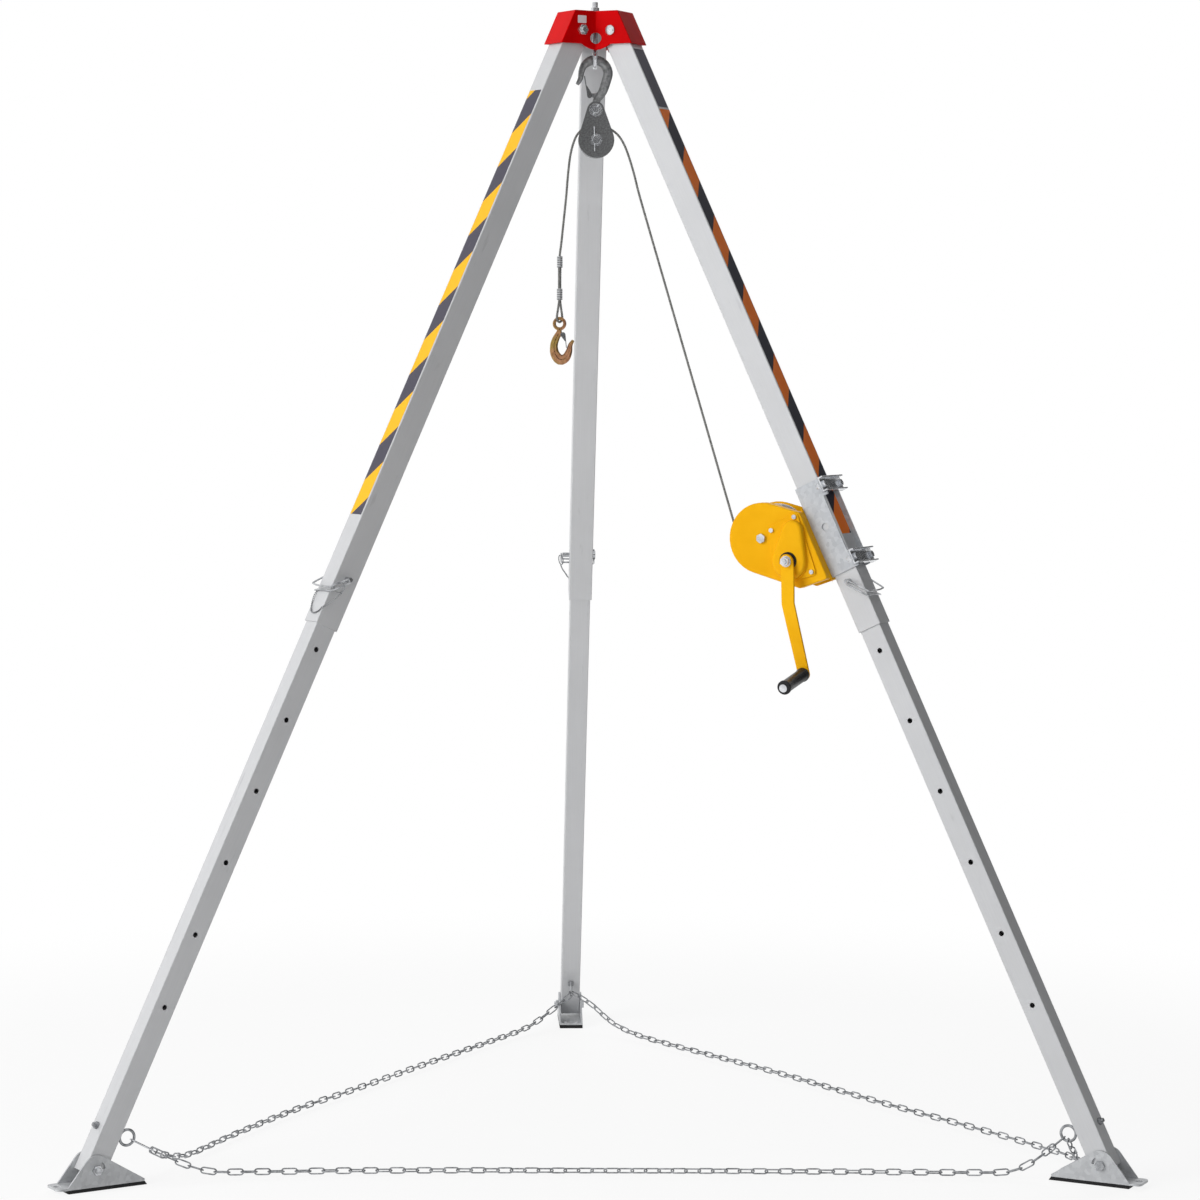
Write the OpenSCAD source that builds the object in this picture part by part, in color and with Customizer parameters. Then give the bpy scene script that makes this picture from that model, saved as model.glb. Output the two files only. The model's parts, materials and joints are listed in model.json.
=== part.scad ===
// Rescue tripod: three telescoping legs on a folded steel head, with a snatch block,
// a geared hand winch on the right leg and a safety chain round the feet.
// Millimetres, Z up. The feet stand on Z = 0 and the back leg points along +Y.

/* [Stance] */
// Lean of each leg from the vertical, in degrees
leg_lean = 25.9; // [20:0.1:30]
// Distance from the head's centre line to each leg pivot
pivot_r = 52; // [50:0.5:64]
// Length along the leg from its pivot to its foot bolt
leg_len = 2416; // [2380:1:2600]

/* [Leg tubes] */
// Outer width of the upper square tube
upper_w = 50; // [46:0.5:54]
// Wall of both square tubes
tube_wall = 2.5; // [2:0.1:3.5]
// Gap on each side between the lower tube and the upper one
tube_slack = 0.5; // [0.3:0.1:0.8]
// Corner radius of the tubes
tube_corner = 2; // [1:0.5:2.5]
// How far the upper tube reaches past its pivot
upper_top = 14; // [10:1:18]
// Length along the leg from the pivot to the end of the upper tube
upper_end = 1302; // [1270:1:1330]
// Length along the leg from the pivot to the lock pin
pin_at = 1202; // [1196:1:1215]
// Spacing of the adjusting holes
hole_pitch = 148; // [130:1:155]
// Number of adjusting holes
hole_count = 7; // [4:1:7]
// How far the lower tube reaches into the upper one past the lock pin
lower_above_pin = 100; // [60:1:140]
// How far the lower tube reaches past its foot bolt
lower_past_bolt = 12; // [8:0.5:14]

/* [Head] */
// Thickness of the head's plates
head_wall = 6; // [4:0.5:8]
// Thickness of the plastic washers beside each leg
washer_t = 2.6; // [1.5:0.1:4]
// Height of the head's top face over the leg pivots
head_above = 39; // [38:1:50]
// Depth of the head's lower edge under the leg pivots
head_below = 27; // [25:1:36]
// How far the rounded lobes hang under that edge
lobe_drop = 11; // [8:0.5:13]
// Radius of the lobes
lobe_r = 42; // [36:1:46]
// Radius of the anchor holes
anchor_r = 11; // [8:0.5:13]
// Height of the anchor holes over the head's lower edge
anchor_up = 12; // [8:1:16]
// Radius of the leg pivot bolts
pivot_bolt_r = 6; // [5:0.5:7]
// Wire radius of the eye bolt's ring
eye_wire_r = 4.5; // [3.5:0.25:5]
// Radius of the eye bolt's ring, to the middle of its wire
eye_ring_r = 17; // [16:0.5:20]
// Distance from the head's top face down to the ring's centre
eye_drop = 92; // [86:1:110]
// Height of the eye bolt's thread over the head's top face
eye_thread_up = 21; // [16:1:30]

/* [Feet] */
// Height of the foot bolt over the ground
foot_bolt_up = 39; // [38:1:50]
// Radius of the foot bolt
foot_bolt_r = 6; // [5:0.5:7]
// Thickness of the foot bracket's plate
foot_plate = 4; // [3:0.5:5]
// Gap between the lower tube and the bracket's sides
foot_gap = 0.8; // [0.5:0.1:0.9]
// Thickness of the rubber pad
pad_t = 7; // [5:0.5:9]
// Length of the foot toward the tripod's centre
foot_in = 98; // [80:1:110]
// Length of the foot away from the tripod's centre
foot_out = 58; // [48:1:70]
// Reach of the stake lip past that
lip_len = 22; // [20:1:40]
// Radius of the stake hole
stake_r = 7; // [5:0.5:8]
// Radius of the bracket's rounded top
foot_top_r = 28; // [24:1:30]

/* [Lock pins] */
// Radius of the lock pins
pin_r = 5; // [4:0.25:6]
// Radius of the pin's head
pin_head_r = 9; // [8:0.5:11]
// Wire radius of the bail
bail_r = 1.8; // [1.5:0.1:2.2]
// Distance of the bail from the outward face of the leg
bail_out = 6; // [5:0.5:9]

/* [Chain] */
// Wire thickness of the chain
link_wire = 3; // [2.5:0.25:3.5]
// Inner length of a link
link_in = 27.5; // [26:0.5:29]
// Inner width of a link
link_gap = 8; // [7:0.25:9]
// Distance of the chain's eye bolts from the foot bolts
eye_above_bolt = 76; // [70:1:100]
// Wire radius of those eyes
chain_eye_wire = 2.75; // [2:0.25:2.75]
// Radius of those eyes, to the middle of their wire
chain_eye_r = 15; // [14:0.5:18]
// Radius of their threaded shank
chain_eye_shank = 4; // [3:0.5:4]

/* [Winch] */
// Distance along the leg from the pivot to the drum's axis
drum_along = 1054; // [1040:1:1060]
// Distance of the drum's axis from the leg's middle
drum_in = 123.5; // [120:0.5:135]
// Width of the drum between its flanges
drum_w = 56; // [44:1:60]
// Radius of the drum's barrel
barrel_r = 40; // [30:1:44]
// Radius of the drum's flanges
flange_r = 66; // [64:0.5:68]
// Radius of the drum's axle
axle_r = 6; // [5:0.5:8]
// Tooth module of the gears
gear_module = 2.5; // [2.25:0.05:2.5]
// Teeth on the pinion
pinion_teeth = 12; // [12:1:14]
// Teeth on the drum gear
drum_teeth = 49; // [46:1:49]
// Thickness of the gears
gear_t = 11; // [8:0.5:13]
// Radius of the drive shaft
shaft_r = 8; // [7:0.5:9]
// Sheet thickness of the winch frame
frame_t = 3; // [2:0.25:4]
// Radius of the round yellow shell
shell_r = 70; // [69:0.5:74]
// Depth of the round shell in front of the near side plate
shell_d = 18; // [16:0.5:22]
// Height of the boss on the gear cover
boss_h = 14; // [13:0.5:18]
// Length of the bracket along the leg
bracket_len = 188; // [180:1:200]
// Sheet thickness of the bracket
bracket_t = 3; // [2:0.25:4]
// How far the bracket's sides stand past the leg's outward face
bracket_proud = 9; // [6:0.5:12]
// Width of each clamp strap
strap_w = 30; // [24:1:36]

/* [Crank] */
// Distance from the crank's axis to the grip
crank_len = 222; // [180:1:260]
// Width of the crank arm
crank_w = 24; // [22:1:28]
// Thickness of the crank arm
crank_t = 6; // [4:0.5:8]
// Sideways reach of the crank arm at its bend
crank_step = 20; // [14:1:24]
// Lean of the grip away from the crank's axis, in degrees
crank_tilt = 11; // [8:0.5:12]
// Length of the grip
grip_len = 100; // [80:1:120]
// Radius of the grip
grip_r = 14; // [11:0.5:16]
// Radius of the grip's pin
grip_pin_r = 5; // [4:0.5:6]

/* [Block] */
// Distance from the hook's pin to the sheave's axle
cheek_len = 60; // [60:1:75]
// Radius of the cheeks round the sheave
cheek_r = 36; // [36:0.5:40]
// Radius of the cheeks round the hook's pin
cheek_top_r = 17; // [16:0.5:20]
// Thickness of each cheek
cheek_t = 4; // [3:0.5:6]
// Width of the sheave
sheave_w = 14; // [12:0.5:16]
// Radius of the sheave's axle
sheave_axle_r = 8; // [6:0.5:10]
// Radius of the hook's pin
hook_pin_r = 6; // [5:0.5:7]

/* [Rope] */
// Diameter of the wire rope
rope_d = 5; // [4:0.25:5]
// Radius of the rope's path over the sheave
rope_turn_r = 34; // [33:0.25:34]
// Drop from the sheave's axle to the load hook's eye
fall_drop = 368; // [340:1:400]
// Radius of the drum's outer layer of rope
wind_r = 60; // [58:0.5:61]
// Turns in that outer layer
wind_turns = 9; // [6:0.5:9.5]

/* [Hidden] */
$fn = 48;

// Compass directions of the legs, in degrees from +X
left_az = 210;
right_az = 330;
back_az = 90;

// Clearance of a running fit on its radius, and of a loose hole
run_fit = 0.08;
loose_fit = 0.2;
// Gap between faces that pass each other
face_gap = 0.3;
// How far a cut reaches past the solid it goes through
cut_past = 1;

// Values that follow from the tubes and the stance
lower_w = upper_w - 2 * (tube_wall + tube_slack);
pivot_z = foot_bolt_up + leg_len * cos(leg_lean);
foot_r = pivot_r + leg_len * sin(leg_lean);
foot_half_w = lower_w / 2 + foot_gap + foot_plate;
foot_reach = foot_r + foot_out + lip_len;
// The origin lies under the middle of the stance's outline
stance_y = -(foot_reach / 2 - foot_half_w * cos(30)) / 2;
head_half_w = upper_w / 2 + washer_t + 2 * loose_fit + head_wall;
head_top_z = pivot_z + head_above;
head_low_z = pivot_z - head_below;
eye_z = head_top_z - eye_drop;

// Metal colours
alloy = [0.80, 0.81, 0.82];
zinc = [0.72, 0.74, 0.76];
steel = [0.62, 0.64, 0.66];
red = [0.86, 0.05, 0.05];
yellow = [0.96, 0.70, 0.12];
black = [0.08, 0.08, 0.09];
grey = [0.30, 0.31, 0.32];

// Places

// Frame of one leg: X outward, Y to the left of outward, Z up along the leg from its pivot
module at_leg(az) {
    translate([0, stance_y, 0]) rotate([0, 0, az]) translate([pivot_r, 0, pivot_z])
        rotate([0, -leg_lean, 0]) children();
}

// Frame of one foot at its bolt: X outward along the ground, Z up
module at_foot(az) {
    translate([0, stance_y, 0]) rotate([0, 0, az]) translate([foot_r, 0, foot_bolt_up])
        children();
}

// Frame of the winch: X inward from the leg, Y down the leg, Z toward the crank
module at_winch() {
    at_leg(right_az) rotate([-90, 0, 180]) children();
}

// A place in a leg's frame, in the part's frame
function leg_point(az, out, side, down) =
    let (r = pivot_r + down * sin(leg_lean) + out * cos(leg_lean))
    [r * cos(az) - side * sin(az), r * sin(az) + side * cos(az) + stance_y,
     pivot_z - down * cos(leg_lean) + out * sin(leg_lean)];

// A direction in a leg's upright plane, given by its slope below the inward level
function inward(az, slope) =
    [-cos(slope) * cos(az), -cos(slope) * sin(az), -sin(slope)];

// Outlines and curves

function unit(v) = v / norm(v);
function arc_steps(span) = max(1, ceil(span / 10));
function belt_normal(a, b) =
    let (d = [b[0] - a[0], b[1] - a[1]])
    atan2(d[1], d[0]) - acos((a[2] - b[2]) / norm(d));
function turn_up(from, to) = from + ((to - from) % 360 + 360) % 360;

// Outline of a belt drawn round circles [x, y, r], listed anticlockwise
function belt(c) = [for (i = [0:len(c) - 1])
    let (n = len(c),
         first = belt_normal(c[(i + n - 1) % n], c[i]),
         last = turn_up(first, belt_normal(c[i], c[(i + 1) % n])),
         steps = arc_steps(last - first))
    for (k = [0:steps])
        let (a = first + (last - first) * k / steps)
        [c[i][0] + c[i][2] * cos(a), c[i][1] + c[i][2] * sin(a)]];

function rounded(w, h, r) =
    belt([for (s = [[1, -1], [1, 1], [-1, 1], [-1, -1]])
        [s[0] * (w / 2 - r), s[1] * (h / 2 - r), r]]);

function catmull(a, b, c, d, t) =
    0.5 * (2 * b + (c - a) * t + (2 * a - 5 * b + 4 * c - d) * t * t
        + (3 * b - a - 3 * c + d) * t * t * t);
// A smooth run through points, with n steps between two of them
function smooth(p, n) = let (m = len(p) - 1) [for (i = [0:m - 1]) for (k = [0:n - 1])
    catmull(p[max(i - 1, 0)], p[i], p[i + 1], p[min(i + 2, m)], k / n), p[m]];
function run_lengths(p) = [for (i = 0, s = 0; i < len(p);
    s = i + 1 < len(p) ? s + norm(p[i + 1] - p[i]) : s, i = i + 1) s];
function at_length(p, run, s) = [for (axis = [0:2])
    lookup(s, [for (i = [0:len(p) - 1]) [run[i], p[i][axis]]])];
// The same run, with its points evenly spaced
function even_run(p, n) = let (run = run_lengths(p), whole = run[len(run) - 1])
    [for (i = [0:n]) at_length(p, run, whole * i / n)];

function tangents(p) = let (m = len(p) - 1)
    [for (i = [0:m]) unit(p[min(i + 1, m)] - p[max(i - 1, 0)])];
function square_to(u, t) = unit(u - (u * t) * t);
function carried(t, u) = [for (i = 0, v = square_to(u, t[0]); i < len(t);
    i = i + 1, v = i < len(t) ? square_to(v, t[i]) : v) v];

// A tube swept along points, with one radius or a list of radii, flattened across its bend
module tube(p, r, sides = 8, side_hint = [0.1, 1, 0.05], flat = 1) {
    t = tangents(p);
    u = carried(t, side_hint);
    n = len(p);
    rings = [for (i = [0:n - 1]) for (k = [0:sides - 1])
        let (a = 360 * k / sides, radius = is_list(r) ? r[i] : r)
        p[i] + radius * (flat * cos(a) * u[i] + sin(a) * cross(t[i], u[i]))];
    walls = [for (i = [0:n - 2]) for (k = [0:sides - 1])
        let (a = i * sides + k, b = i * sides + (k + 1) % sides)
        each [[a, a + sides, b], [b, a + sides, b + sides]]];
    start_cap = [for (k = [1:sides - 2]) [0, k, k + 1]];
    end = (n - 1) * sides;
    end_cap = [for (k = [1:sides - 2]) [end, end + k + 1, end + k]];
    polyhedron(rings, concat(walls, start_cap, end_cap));
}

// A closed wire loop swept round points in a plane with the given normal
module wire_loop(p, r, normal, sides = 8) {
    n = len(p);
    t = [for (i = [0:n - 1]) unit(p[(i + 1) % n] - p[(i + n - 1) % n])];
    rings = [for (i = [0:n - 1]) for (k = [0:sides - 1])
        let (a = 360 * k / sides)
        p[i] + r * (cos(a) * normal + sin(a) * cross(t[i], normal))];
    walls = [for (i = [0:n - 1]) for (k = [0:sides - 1])
        let (j = (i + 1) % n, a = i * sides + k, b = i * sides + (k + 1) % sides,
             c = j * sides + k, d = j * sides + (k + 1) % sides)
        each [[a, c, b], [b, c, d]]];
    polyhedron(rings, walls);
}

// Shared hardware

module along_y(len) {
    rotate([90, 0, 0]) translate([0, 0, -len / 2]) linear_extrude(len) children();
}

module pin_y(r, from, to) {
    translate([0, to, 0]) rotate([90, 0, 0]) cylinder(r = r, h = to - from);
}

module hex_y(r, from, to) {
    translate([0, to, 0]) rotate([90, 0, 0]) cylinder(r = r, h = to - from, $fn = 6);
}

module pin_x(r, from, to) {
    translate([from, 0, 0]) rotate([0, 90, 0]) cylinder(r = r, h = to - from);
}

module hex_x(r, from, to) {
    translate([from, 0, 0]) rotate([0, 90, 0]) cylinder(r = r, h = to - from, $fn = 6);
}

// Upright plate in the XZ plane with its middle on Y = 0
module plate_y(outline, thick) {
    along_y(thick) polygon(outline);
}

module ring_y(ring_r, wire_r) {
    rotate([90, 0, 0]) rotate_extrude() translate([ring_r, 0]) circle(r = wire_r);
}

module dome(r, h) {
    rotate_extrude() polygon(concat([[0, 0], [r, 0], [r, h * 0.35]],
        [for (a = [15:15:90]) [r * cos(a), h * (0.35 + 0.65 * sin(a))]]));
}

// Head

// Column under the three arms, with half width w, between two heights
module arms(w, low, high, stop) {
    intersection() {
        translate([0, 0, low]) linear_extrude(high - low)
            for (az = [left_az, right_az, back_az])
                rotate([0, 0, az]) translate([0, -w]) square([2 * head_half_w + pivot_r, 2 * w]);
        intersection_for(az = [left_az, right_az, back_az]) arm_side(az, stop);
    }
}

// Everything on the inner side of one stop plate's plane
module arm_side(az, stop) {
    far = 4 * (pivot_r + head_half_w);
    rotate([0, 0, az]) translate([pivot_r, 0, pivot_z]) rotate([0, -leg_lean, 0])
        translate([stop - 2 * far, -far, -far]) cube(2 * far);
}

module head_shell() {
    inner_w = head_half_w - head_wall;
    stop = upper_w / 2 + loose_fit;
    lobe_low = head_low_z - lobe_drop;
    color(red) translate([0, stance_y, 0]) difference() {
        union() {
            arms(head_half_w, head_low_z, head_top_z, stop + head_wall);
            intersection() {
                arms(head_half_w, lobe_low, head_low_z + cut_past, stop + head_wall);
                for (az = [left_az, right_az, back_az]) rotate([0, 0, az + 180])
                    translate([0, 0, lobe_low + lobe_r])
                        pin_x(lobe_r, 0, pivot_r + head_half_w);
            }
        }
        arms(inner_w, lobe_low - cut_past, head_top_z - head_wall, stop);
        for (az = [left_az, right_az, back_az]) rotate([0, 0, az]) {
            translate([pivot_r, 0, pivot_z])
                pin_y(pivot_bolt_r + run_fit, -head_half_w - cut_past, head_half_w + cut_past);
            translate([0, 0, head_low_z + anchor_up])
                pin_x(anchor_r, -2 * head_half_w, -pivot_bolt_r - head_wall);
        }
        translate([0, 0, head_top_z - head_wall - cut_past])
            cylinder(r = eye_wire_r + run_fit + 1, h = head_wall + 2 * cut_past);
    }
}

module eye_bolt() {
    shank_r = eye_wire_r + 1;
    nut_h = 8;
    nut_r = 1.5 * shank_r;
    washer_h = 2;
    color(zinc) translate([0, stance_y, 0]) {
        translate([0, 0, eye_z]) rotate([0, 0, 90]) ring_y(eye_ring_r, eye_wire_r);
        translate([0, 0, eye_z + eye_ring_r])
            cylinder(r = shank_r, h = eye_drop - eye_ring_r + eye_thread_up);
        difference() {
            union() {
                translate([0, 0, head_top_z]) cylinder(r = 1.8 * shank_r, h = washer_h);
                translate([0, 0, head_top_z + washer_h]) cylinder(r = nut_r, h = nut_h, $fn = 6);
                translate([0, 0, head_top_z - head_wall - nut_h])
                    cylinder(r = nut_r, h = nut_h, $fn = 6);
            }
            translate([0, 0, head_top_z - head_wall - nut_h - cut_past])
                cylinder(r = shank_r + run_fit, h = nut_h + head_wall + eye_thread_up);
        }
    }
}

module pivot_bolts() {
    nut_h = 8;
    color(zinc) for (az = [left_az, right_az, back_az])
        translate([0, stance_y, 0]) rotate([0, 0, az]) translate([pivot_r, 0, pivot_z]) {
            pin_y(pivot_bolt_r, -head_half_w, head_half_w + nut_h + 4);
            translate([0, -head_half_w, 0]) rotate([90, 0, 0]) dome(1.7 * pivot_bolt_r, 6);
            difference() {
                hex_y(1.8 * pivot_bolt_r, head_half_w, head_half_w + nut_h);
                pin_y(pivot_bolt_r + run_fit, head_half_w - cut_past, head_half_w + nut_h + cut_past);
            }
        }
}

module pivot_washers() {
    washer_r = upper_w * 0.28;
    middle = upper_w / 2 + loose_fit;
    color("whitesmoke") for (az = [left_az, right_az, back_az]) for (side = [0, 180])
        translate([0, stance_y, 0]) rotate([0, 0, az]) translate([pivot_r, 0, pivot_z])
            rotate([0, 0, side]) difference() {
                pin_y(washer_r, middle, middle + washer_t);
                pin_y(pivot_bolt_r + run_fit, middle - cut_past, middle + washer_t + cut_past);
            }
}

// Legs

// From the winch bracket's lower end to the right leg's lock pin
pin_clear = 20;
// The right leg's pin stays below the bracket, and its upper tube ends as far below it as the others'
function pin_of(az) = az == right_az ? max(pin_at, bracket_end + pin_clear) : pin_at;
function upper_end_of(az) = upper_end + pin_of(az) - pin_at;

module square_tube(w, top, bottom) {
    translate([0, 0, -bottom]) linear_extrude(bottom - top) difference() {
        polygon(rounded(w, w, tube_corner));
        square(w - 2 * tube_wall, center = true);
    }
}

// Outer corner of the leg's top end, rounded off so that it swings past the head's stop plate
module swing_relief() {
    difference() {
        translate([0, -upper_w, 0]) cube([upper_w, 2 * upper_w, upper_w]);
        pin_y(upper_w / 2, -upper_w - cut_past, upper_w + cut_past);
    }
}

module upper_tube(az) {
    color(alloy) at_leg(az) difference() {
        square_tube(upper_w, -upper_top, upper_end_of(az));
        swing_relief();
        pin_y(pivot_bolt_r + run_fit, -upper_w, upper_w);
        translate([0, 0, -pin_of(az)]) pin_y(pin_r + loose_fit, -upper_w, upper_w);
    }
}

module lower_tube(az) {
    color(alloy) at_leg(az) difference() {
        square_tube(lower_w, pin_of(az) - lower_above_pin, leg_len + lower_past_bolt);
        for (k = [0:hole_count - 1]) translate([0, 0, -pin_of(az) - k * hole_pitch])
            pin_y(pin_r + loose_fit, -lower_w, lower_w);
        translate([0, 0, -leg_len]) pin_y(foot_bolt_r + run_fit, -lower_w, lower_w);
        translate([0, 0, eye_above_bolt - leg_len])
            pin_x(chain_eye_shank + run_fit, -lower_w, lower_w);
    }
}

// Half length of the lock pin to the middle of its head, where the bail is hinged
pin_head_t = 6;
pin_head_y = upper_w / 2 + face_gap + pin_head_t / 2;
pin_tip_y = upper_w / 2 + 15.5;
bail_stub = 4;
// How far the bails hang down round their pins
left_droop = 45;
right_droop = 50;

// Frame of a lock pin, with its head on the -Y side of the leg or, flipped, on the +Y side
module at_pin(az, flipped) {
    at_leg(az) translate([0, 0, -pin_of(az)]) mirror([0, flipped ? 1 : 0, 0]) children();
}

// The pin's shank is left out of the lower tube's path
module lock_pin(az, flipped, droop) {
    inner = lower_w / 2 + tube_slack + face_gap;
    color(zinc) at_pin(az, flipped) {
        pin_y(pin_r, inner, pin_tip_y);
        difference() {
            union() {
                pin_y(pin_r, -upper_w / 2 - face_gap - cut_past, -inner);
                translate([0, -pin_head_y, 0])
                    pin_y(pin_head_r, -pin_head_t / 2, pin_head_t / 2);
            }
            rotate([0, droop, 0])
                for (end = [-1, 1]) translate([0, -pin_head_y, end * (pin_head_r - bail_stub / 2)])
                    cylinder(r = bail_r + run_fit, h = bail_stub + 2 * cut_past, center = true);
        }
    }
}

// Wire loop that hangs aslant from the pin's head round the leg's outward face
module bail(az, flipped, droop) {
    out = (upper_w / 2 + bail_out + bail_r) / cos(droop);
    far = pin_tip_y + bail_r + 0.7;
    ear = pin_head_r + bail_r + face_gap;
    in = pin_head_r - bail_stub / 2;
    half = [[0, -pin_head_y, in], [0, -pin_head_y, ear - bail_r], [2.5, -pin_head_y, ear],
        [out - 5, -pin_head_y - 1, ear - 3], [out, 6 - pin_head_y, 6], [out, 0, 4],
        [out, far - 7, 4], [out - 6, far - 1, 4], [9, far, 4], [4, far, 3]];
    back = [for (i = [len(half) - 1:-1:0]) [half[i][0], half[i][1], -half[i][2]]];
    color(zinc) at_pin(az, flipped) rotate([0, droop, 0])
        tube(smooth(concat(half, back), 2), bail_r, 8, [0, 1, 0.1]);
}

module chain_eye(az) {
    nut_h = 6;
    end = lower_w / 2 + nut_h + 5;
    color(zinc) at_leg(az) translate([0, 0, eye_above_bolt - leg_len]) {
        pin_x(chain_eye_shank, -lower_w / 2 - nut_h - 3, end);
        translate([-chain_eye_in, 0, 0]) ring_y(chain_eye_r, chain_eye_wire);
        hex_x(1.8 * chain_eye_shank, -lower_w / 2 - nut_h, -lower_w / 2);
        hex_x(1.8 * chain_eye_shank, lower_w / 2, lower_w / 2 + nut_h);
    }
}
chain_eye_in = lower_w / 2 + 8 + chain_eye_r;

// Feet

module foot_bolt(az) {
    head_h = 6;
    side = foot_half_w;
    color(zinc) at_foot(az) {
        pin_y(foot_bolt_r, -side, side + head_h + 4);
        hex_y(1.7 * foot_bolt_r, -side - head_h, -side);
        hex_y(1.7 * foot_bolt_r, side, side + head_h);
    }
}

module foot_bracket(az) {
    low = pad_t - foot_bolt_up;
    corner = 3;
    outline = belt([[-foot_in + corner, low + corner, corner], [foot_out - corner, low + corner, corner],
        [0, 0, foot_top_r]]);
    inside = lower_w / 2 + foot_gap;
    lip_r = 10;
    slot_r = foot_bolt_r + 9;
    slot_w = 5;
    color(steel) at_foot(az) difference() {
        union() {
            for (side = [-1, 1]) translate([0, side * (inside + foot_plate / 2), 0])
                plate_y(outline, foot_plate);
            translate([0, 0, low]) linear_extrude(foot_plate)
                polygon(belt([[-foot_in + corner, -foot_half_w + corner, corner],
                    [foot_out + lip_len - lip_r, -foot_half_w + lip_r, lip_r],
                    [foot_out + lip_len - lip_r, foot_half_w - lip_r, lip_r],
                    [-foot_in + corner, foot_half_w - corner, corner]]));
        }
        pin_y(foot_bolt_r + run_fit, -2 * foot_half_w, 2 * foot_half_w);
        rotate([90, 0, 0]) rotate([0, 0, 125]) rotate_extrude(angle = 50)
            translate([slot_r - slot_w / 2, -2 * foot_half_w]) square([slot_w, 4 * foot_half_w]);
        translate([foot_out + lip_len / 2, 0, low - cut_past])
            cylinder(r = stake_r, h = foot_plate + 2 * cut_past);
    }
}

module foot_pad(az) {
    flare = 5;
    low = -foot_bolt_up;
    color(black) at_foot(az) along_y(2 * foot_half_w)
        polygon([[-foot_in - flare, low], [foot_out, low], [foot_out - flare / 2, low + pad_t],
            [-foot_in, low + pad_t]]);
}

// Winch

base_x = upper_w / 2 + loose_fit + bracket_t;
drum_room = 3;
side_z = drum_w / 2 + drum_room;
near_z = side_z + frame_t;
shell_z = near_z + shell_d;
cover_t = 3;
boss_z = shell_z + boss_h;
gear_z = near_z + 2;
centre_d = gear_module * (pinion_teeth + drum_teeth) / 2;
crank_dir = 120.6;
crank_x = drum_in + centre_d * cos(crank_dir);
crank_y = drum_along + centre_d * sin(crank_dir);
frame_above = 15;
frame_below = 128;
frame_top = drum_along - frame_above;
frame_end = drum_along + frame_below;
base_past = 4;
shell_corner = 6;
arm_z = boss_z + 4;

module at_drum() {
    at_winch() translate([drum_in, drum_along, 0]) children();
}

module at_crank() {
    at_winch() translate([crank_x, crank_y, 0]) children();
}

// Outline of the round shell and its foot, drawn in by an inset
function shell_outline(inset) = belt([
    [base_x + shell_corner, frame_top + shell_corner, shell_corner - inset],
    [drum_in, drum_along, shell_r - inset],
    [crank_x + 4, frame_end - 2 * shell_corner, shell_corner - inset],
    [base_x + shell_corner, frame_end - shell_corner, shell_corner - inset]]);

function involute(a) = tan(a) * 180 / PI - a;
// Outline of a spur gear with a tooth on +X
function gear_outline(teeth) =
    let (pressure = 25, slack = 0.25,
         pitch_r = gear_module * teeth / 2,
         base_r = pitch_r * cos(pressure),
         tip_r = pitch_r + gear_module * 0.9,
         root_r = pitch_r - gear_module * 1.25,
         half = 90 / teeth - slack / 2 / pitch_r * 180 / PI + involute(pressure),
         first_r = max(base_r, root_r),
         radii = concat([root_r], [for (k = [0:3]) first_r + (tip_r - first_r) * k / 3]))
    [for (i = [0:teeth - 1]) for (side = [-1, 1]) for (k = [0:len(radii) - 1])
        let (r = radii[side < 0 ? k : len(radii) - 1 - k],
             a = 360 * i / teeth + side * (half - (r > base_r ? involute(acos(base_r / r)) : 0)))
        [r * cos(a), r * sin(a)]];

ear_w = 22;
strap_half = upper_w / 2 + bracket_t + ear_w;
ear_x = -upper_w / 2 - bracket_proud;
bracket_above = 60;
bracket_top = drum_along - bracket_above;
bracket_end = bracket_top + bracket_len;
strap_inset = 2;
strap_mid = [bracket_top + strap_w / 2 + strap_inset, bracket_end - strap_w / 2 - strap_inset];
bolt_side = upper_w / 2 + bracket_t + ear_w / 2;
strap_bolt_r = 4;
base_screw_r = 4;
base_screw_in = 22;
base_screws = [for (y = [frame_top + base_screw_in, frame_end - base_screw_in]) for (z = [-1, 1])
    [y, z * drum_w / 3]];

module winch_bracket() {
    inside = upper_w / 2 + loose_fit;
    outside = inside + bracket_t;
    color(zinc) at_winch() difference() {
        union() {
            translate([ear_x, bracket_top, -outside])
                cube([outside - ear_x, bracket_len, 2 * outside]);
            for (y = strap_mid)
                translate([ear_x, y - strap_w / 2, -strap_half])
                    cube([bracket_t, strap_w, 2 * strap_half]);
        }
        translate([ear_x - cut_past, bracket_top - cut_past, -inside])
            cube([inside - ear_x + cut_past, bracket_len + 2 * cut_past, 2 * inside]);
        translate([ear_x - cut_past, strap_mid[0] + strap_w / 2 + 4, inside - cut_past])
            cube([bracket_proud + 2 + cut_past, strap_mid[1] - strap_mid[0] - strap_w - 8,
                bracket_t + 2 * cut_past]);
        for (y = strap_mid) for (side = [-1, 1]) translate([0, y, side * bolt_side])
            pin_x(strap_bolt_r + loose_fit, ear_x - cut_past, ear_x + bracket_t + cut_past);
        for (s = base_screws) translate([0, s[0], s[1]])
            pin_x(base_screw_r + run_fit, 0, outside + cut_past);
        translate([0, bracket_top + bracket_len / 2 - 2, 0])
            cylinder(r = 7, h = 2 * outside);
    }
}

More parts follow.
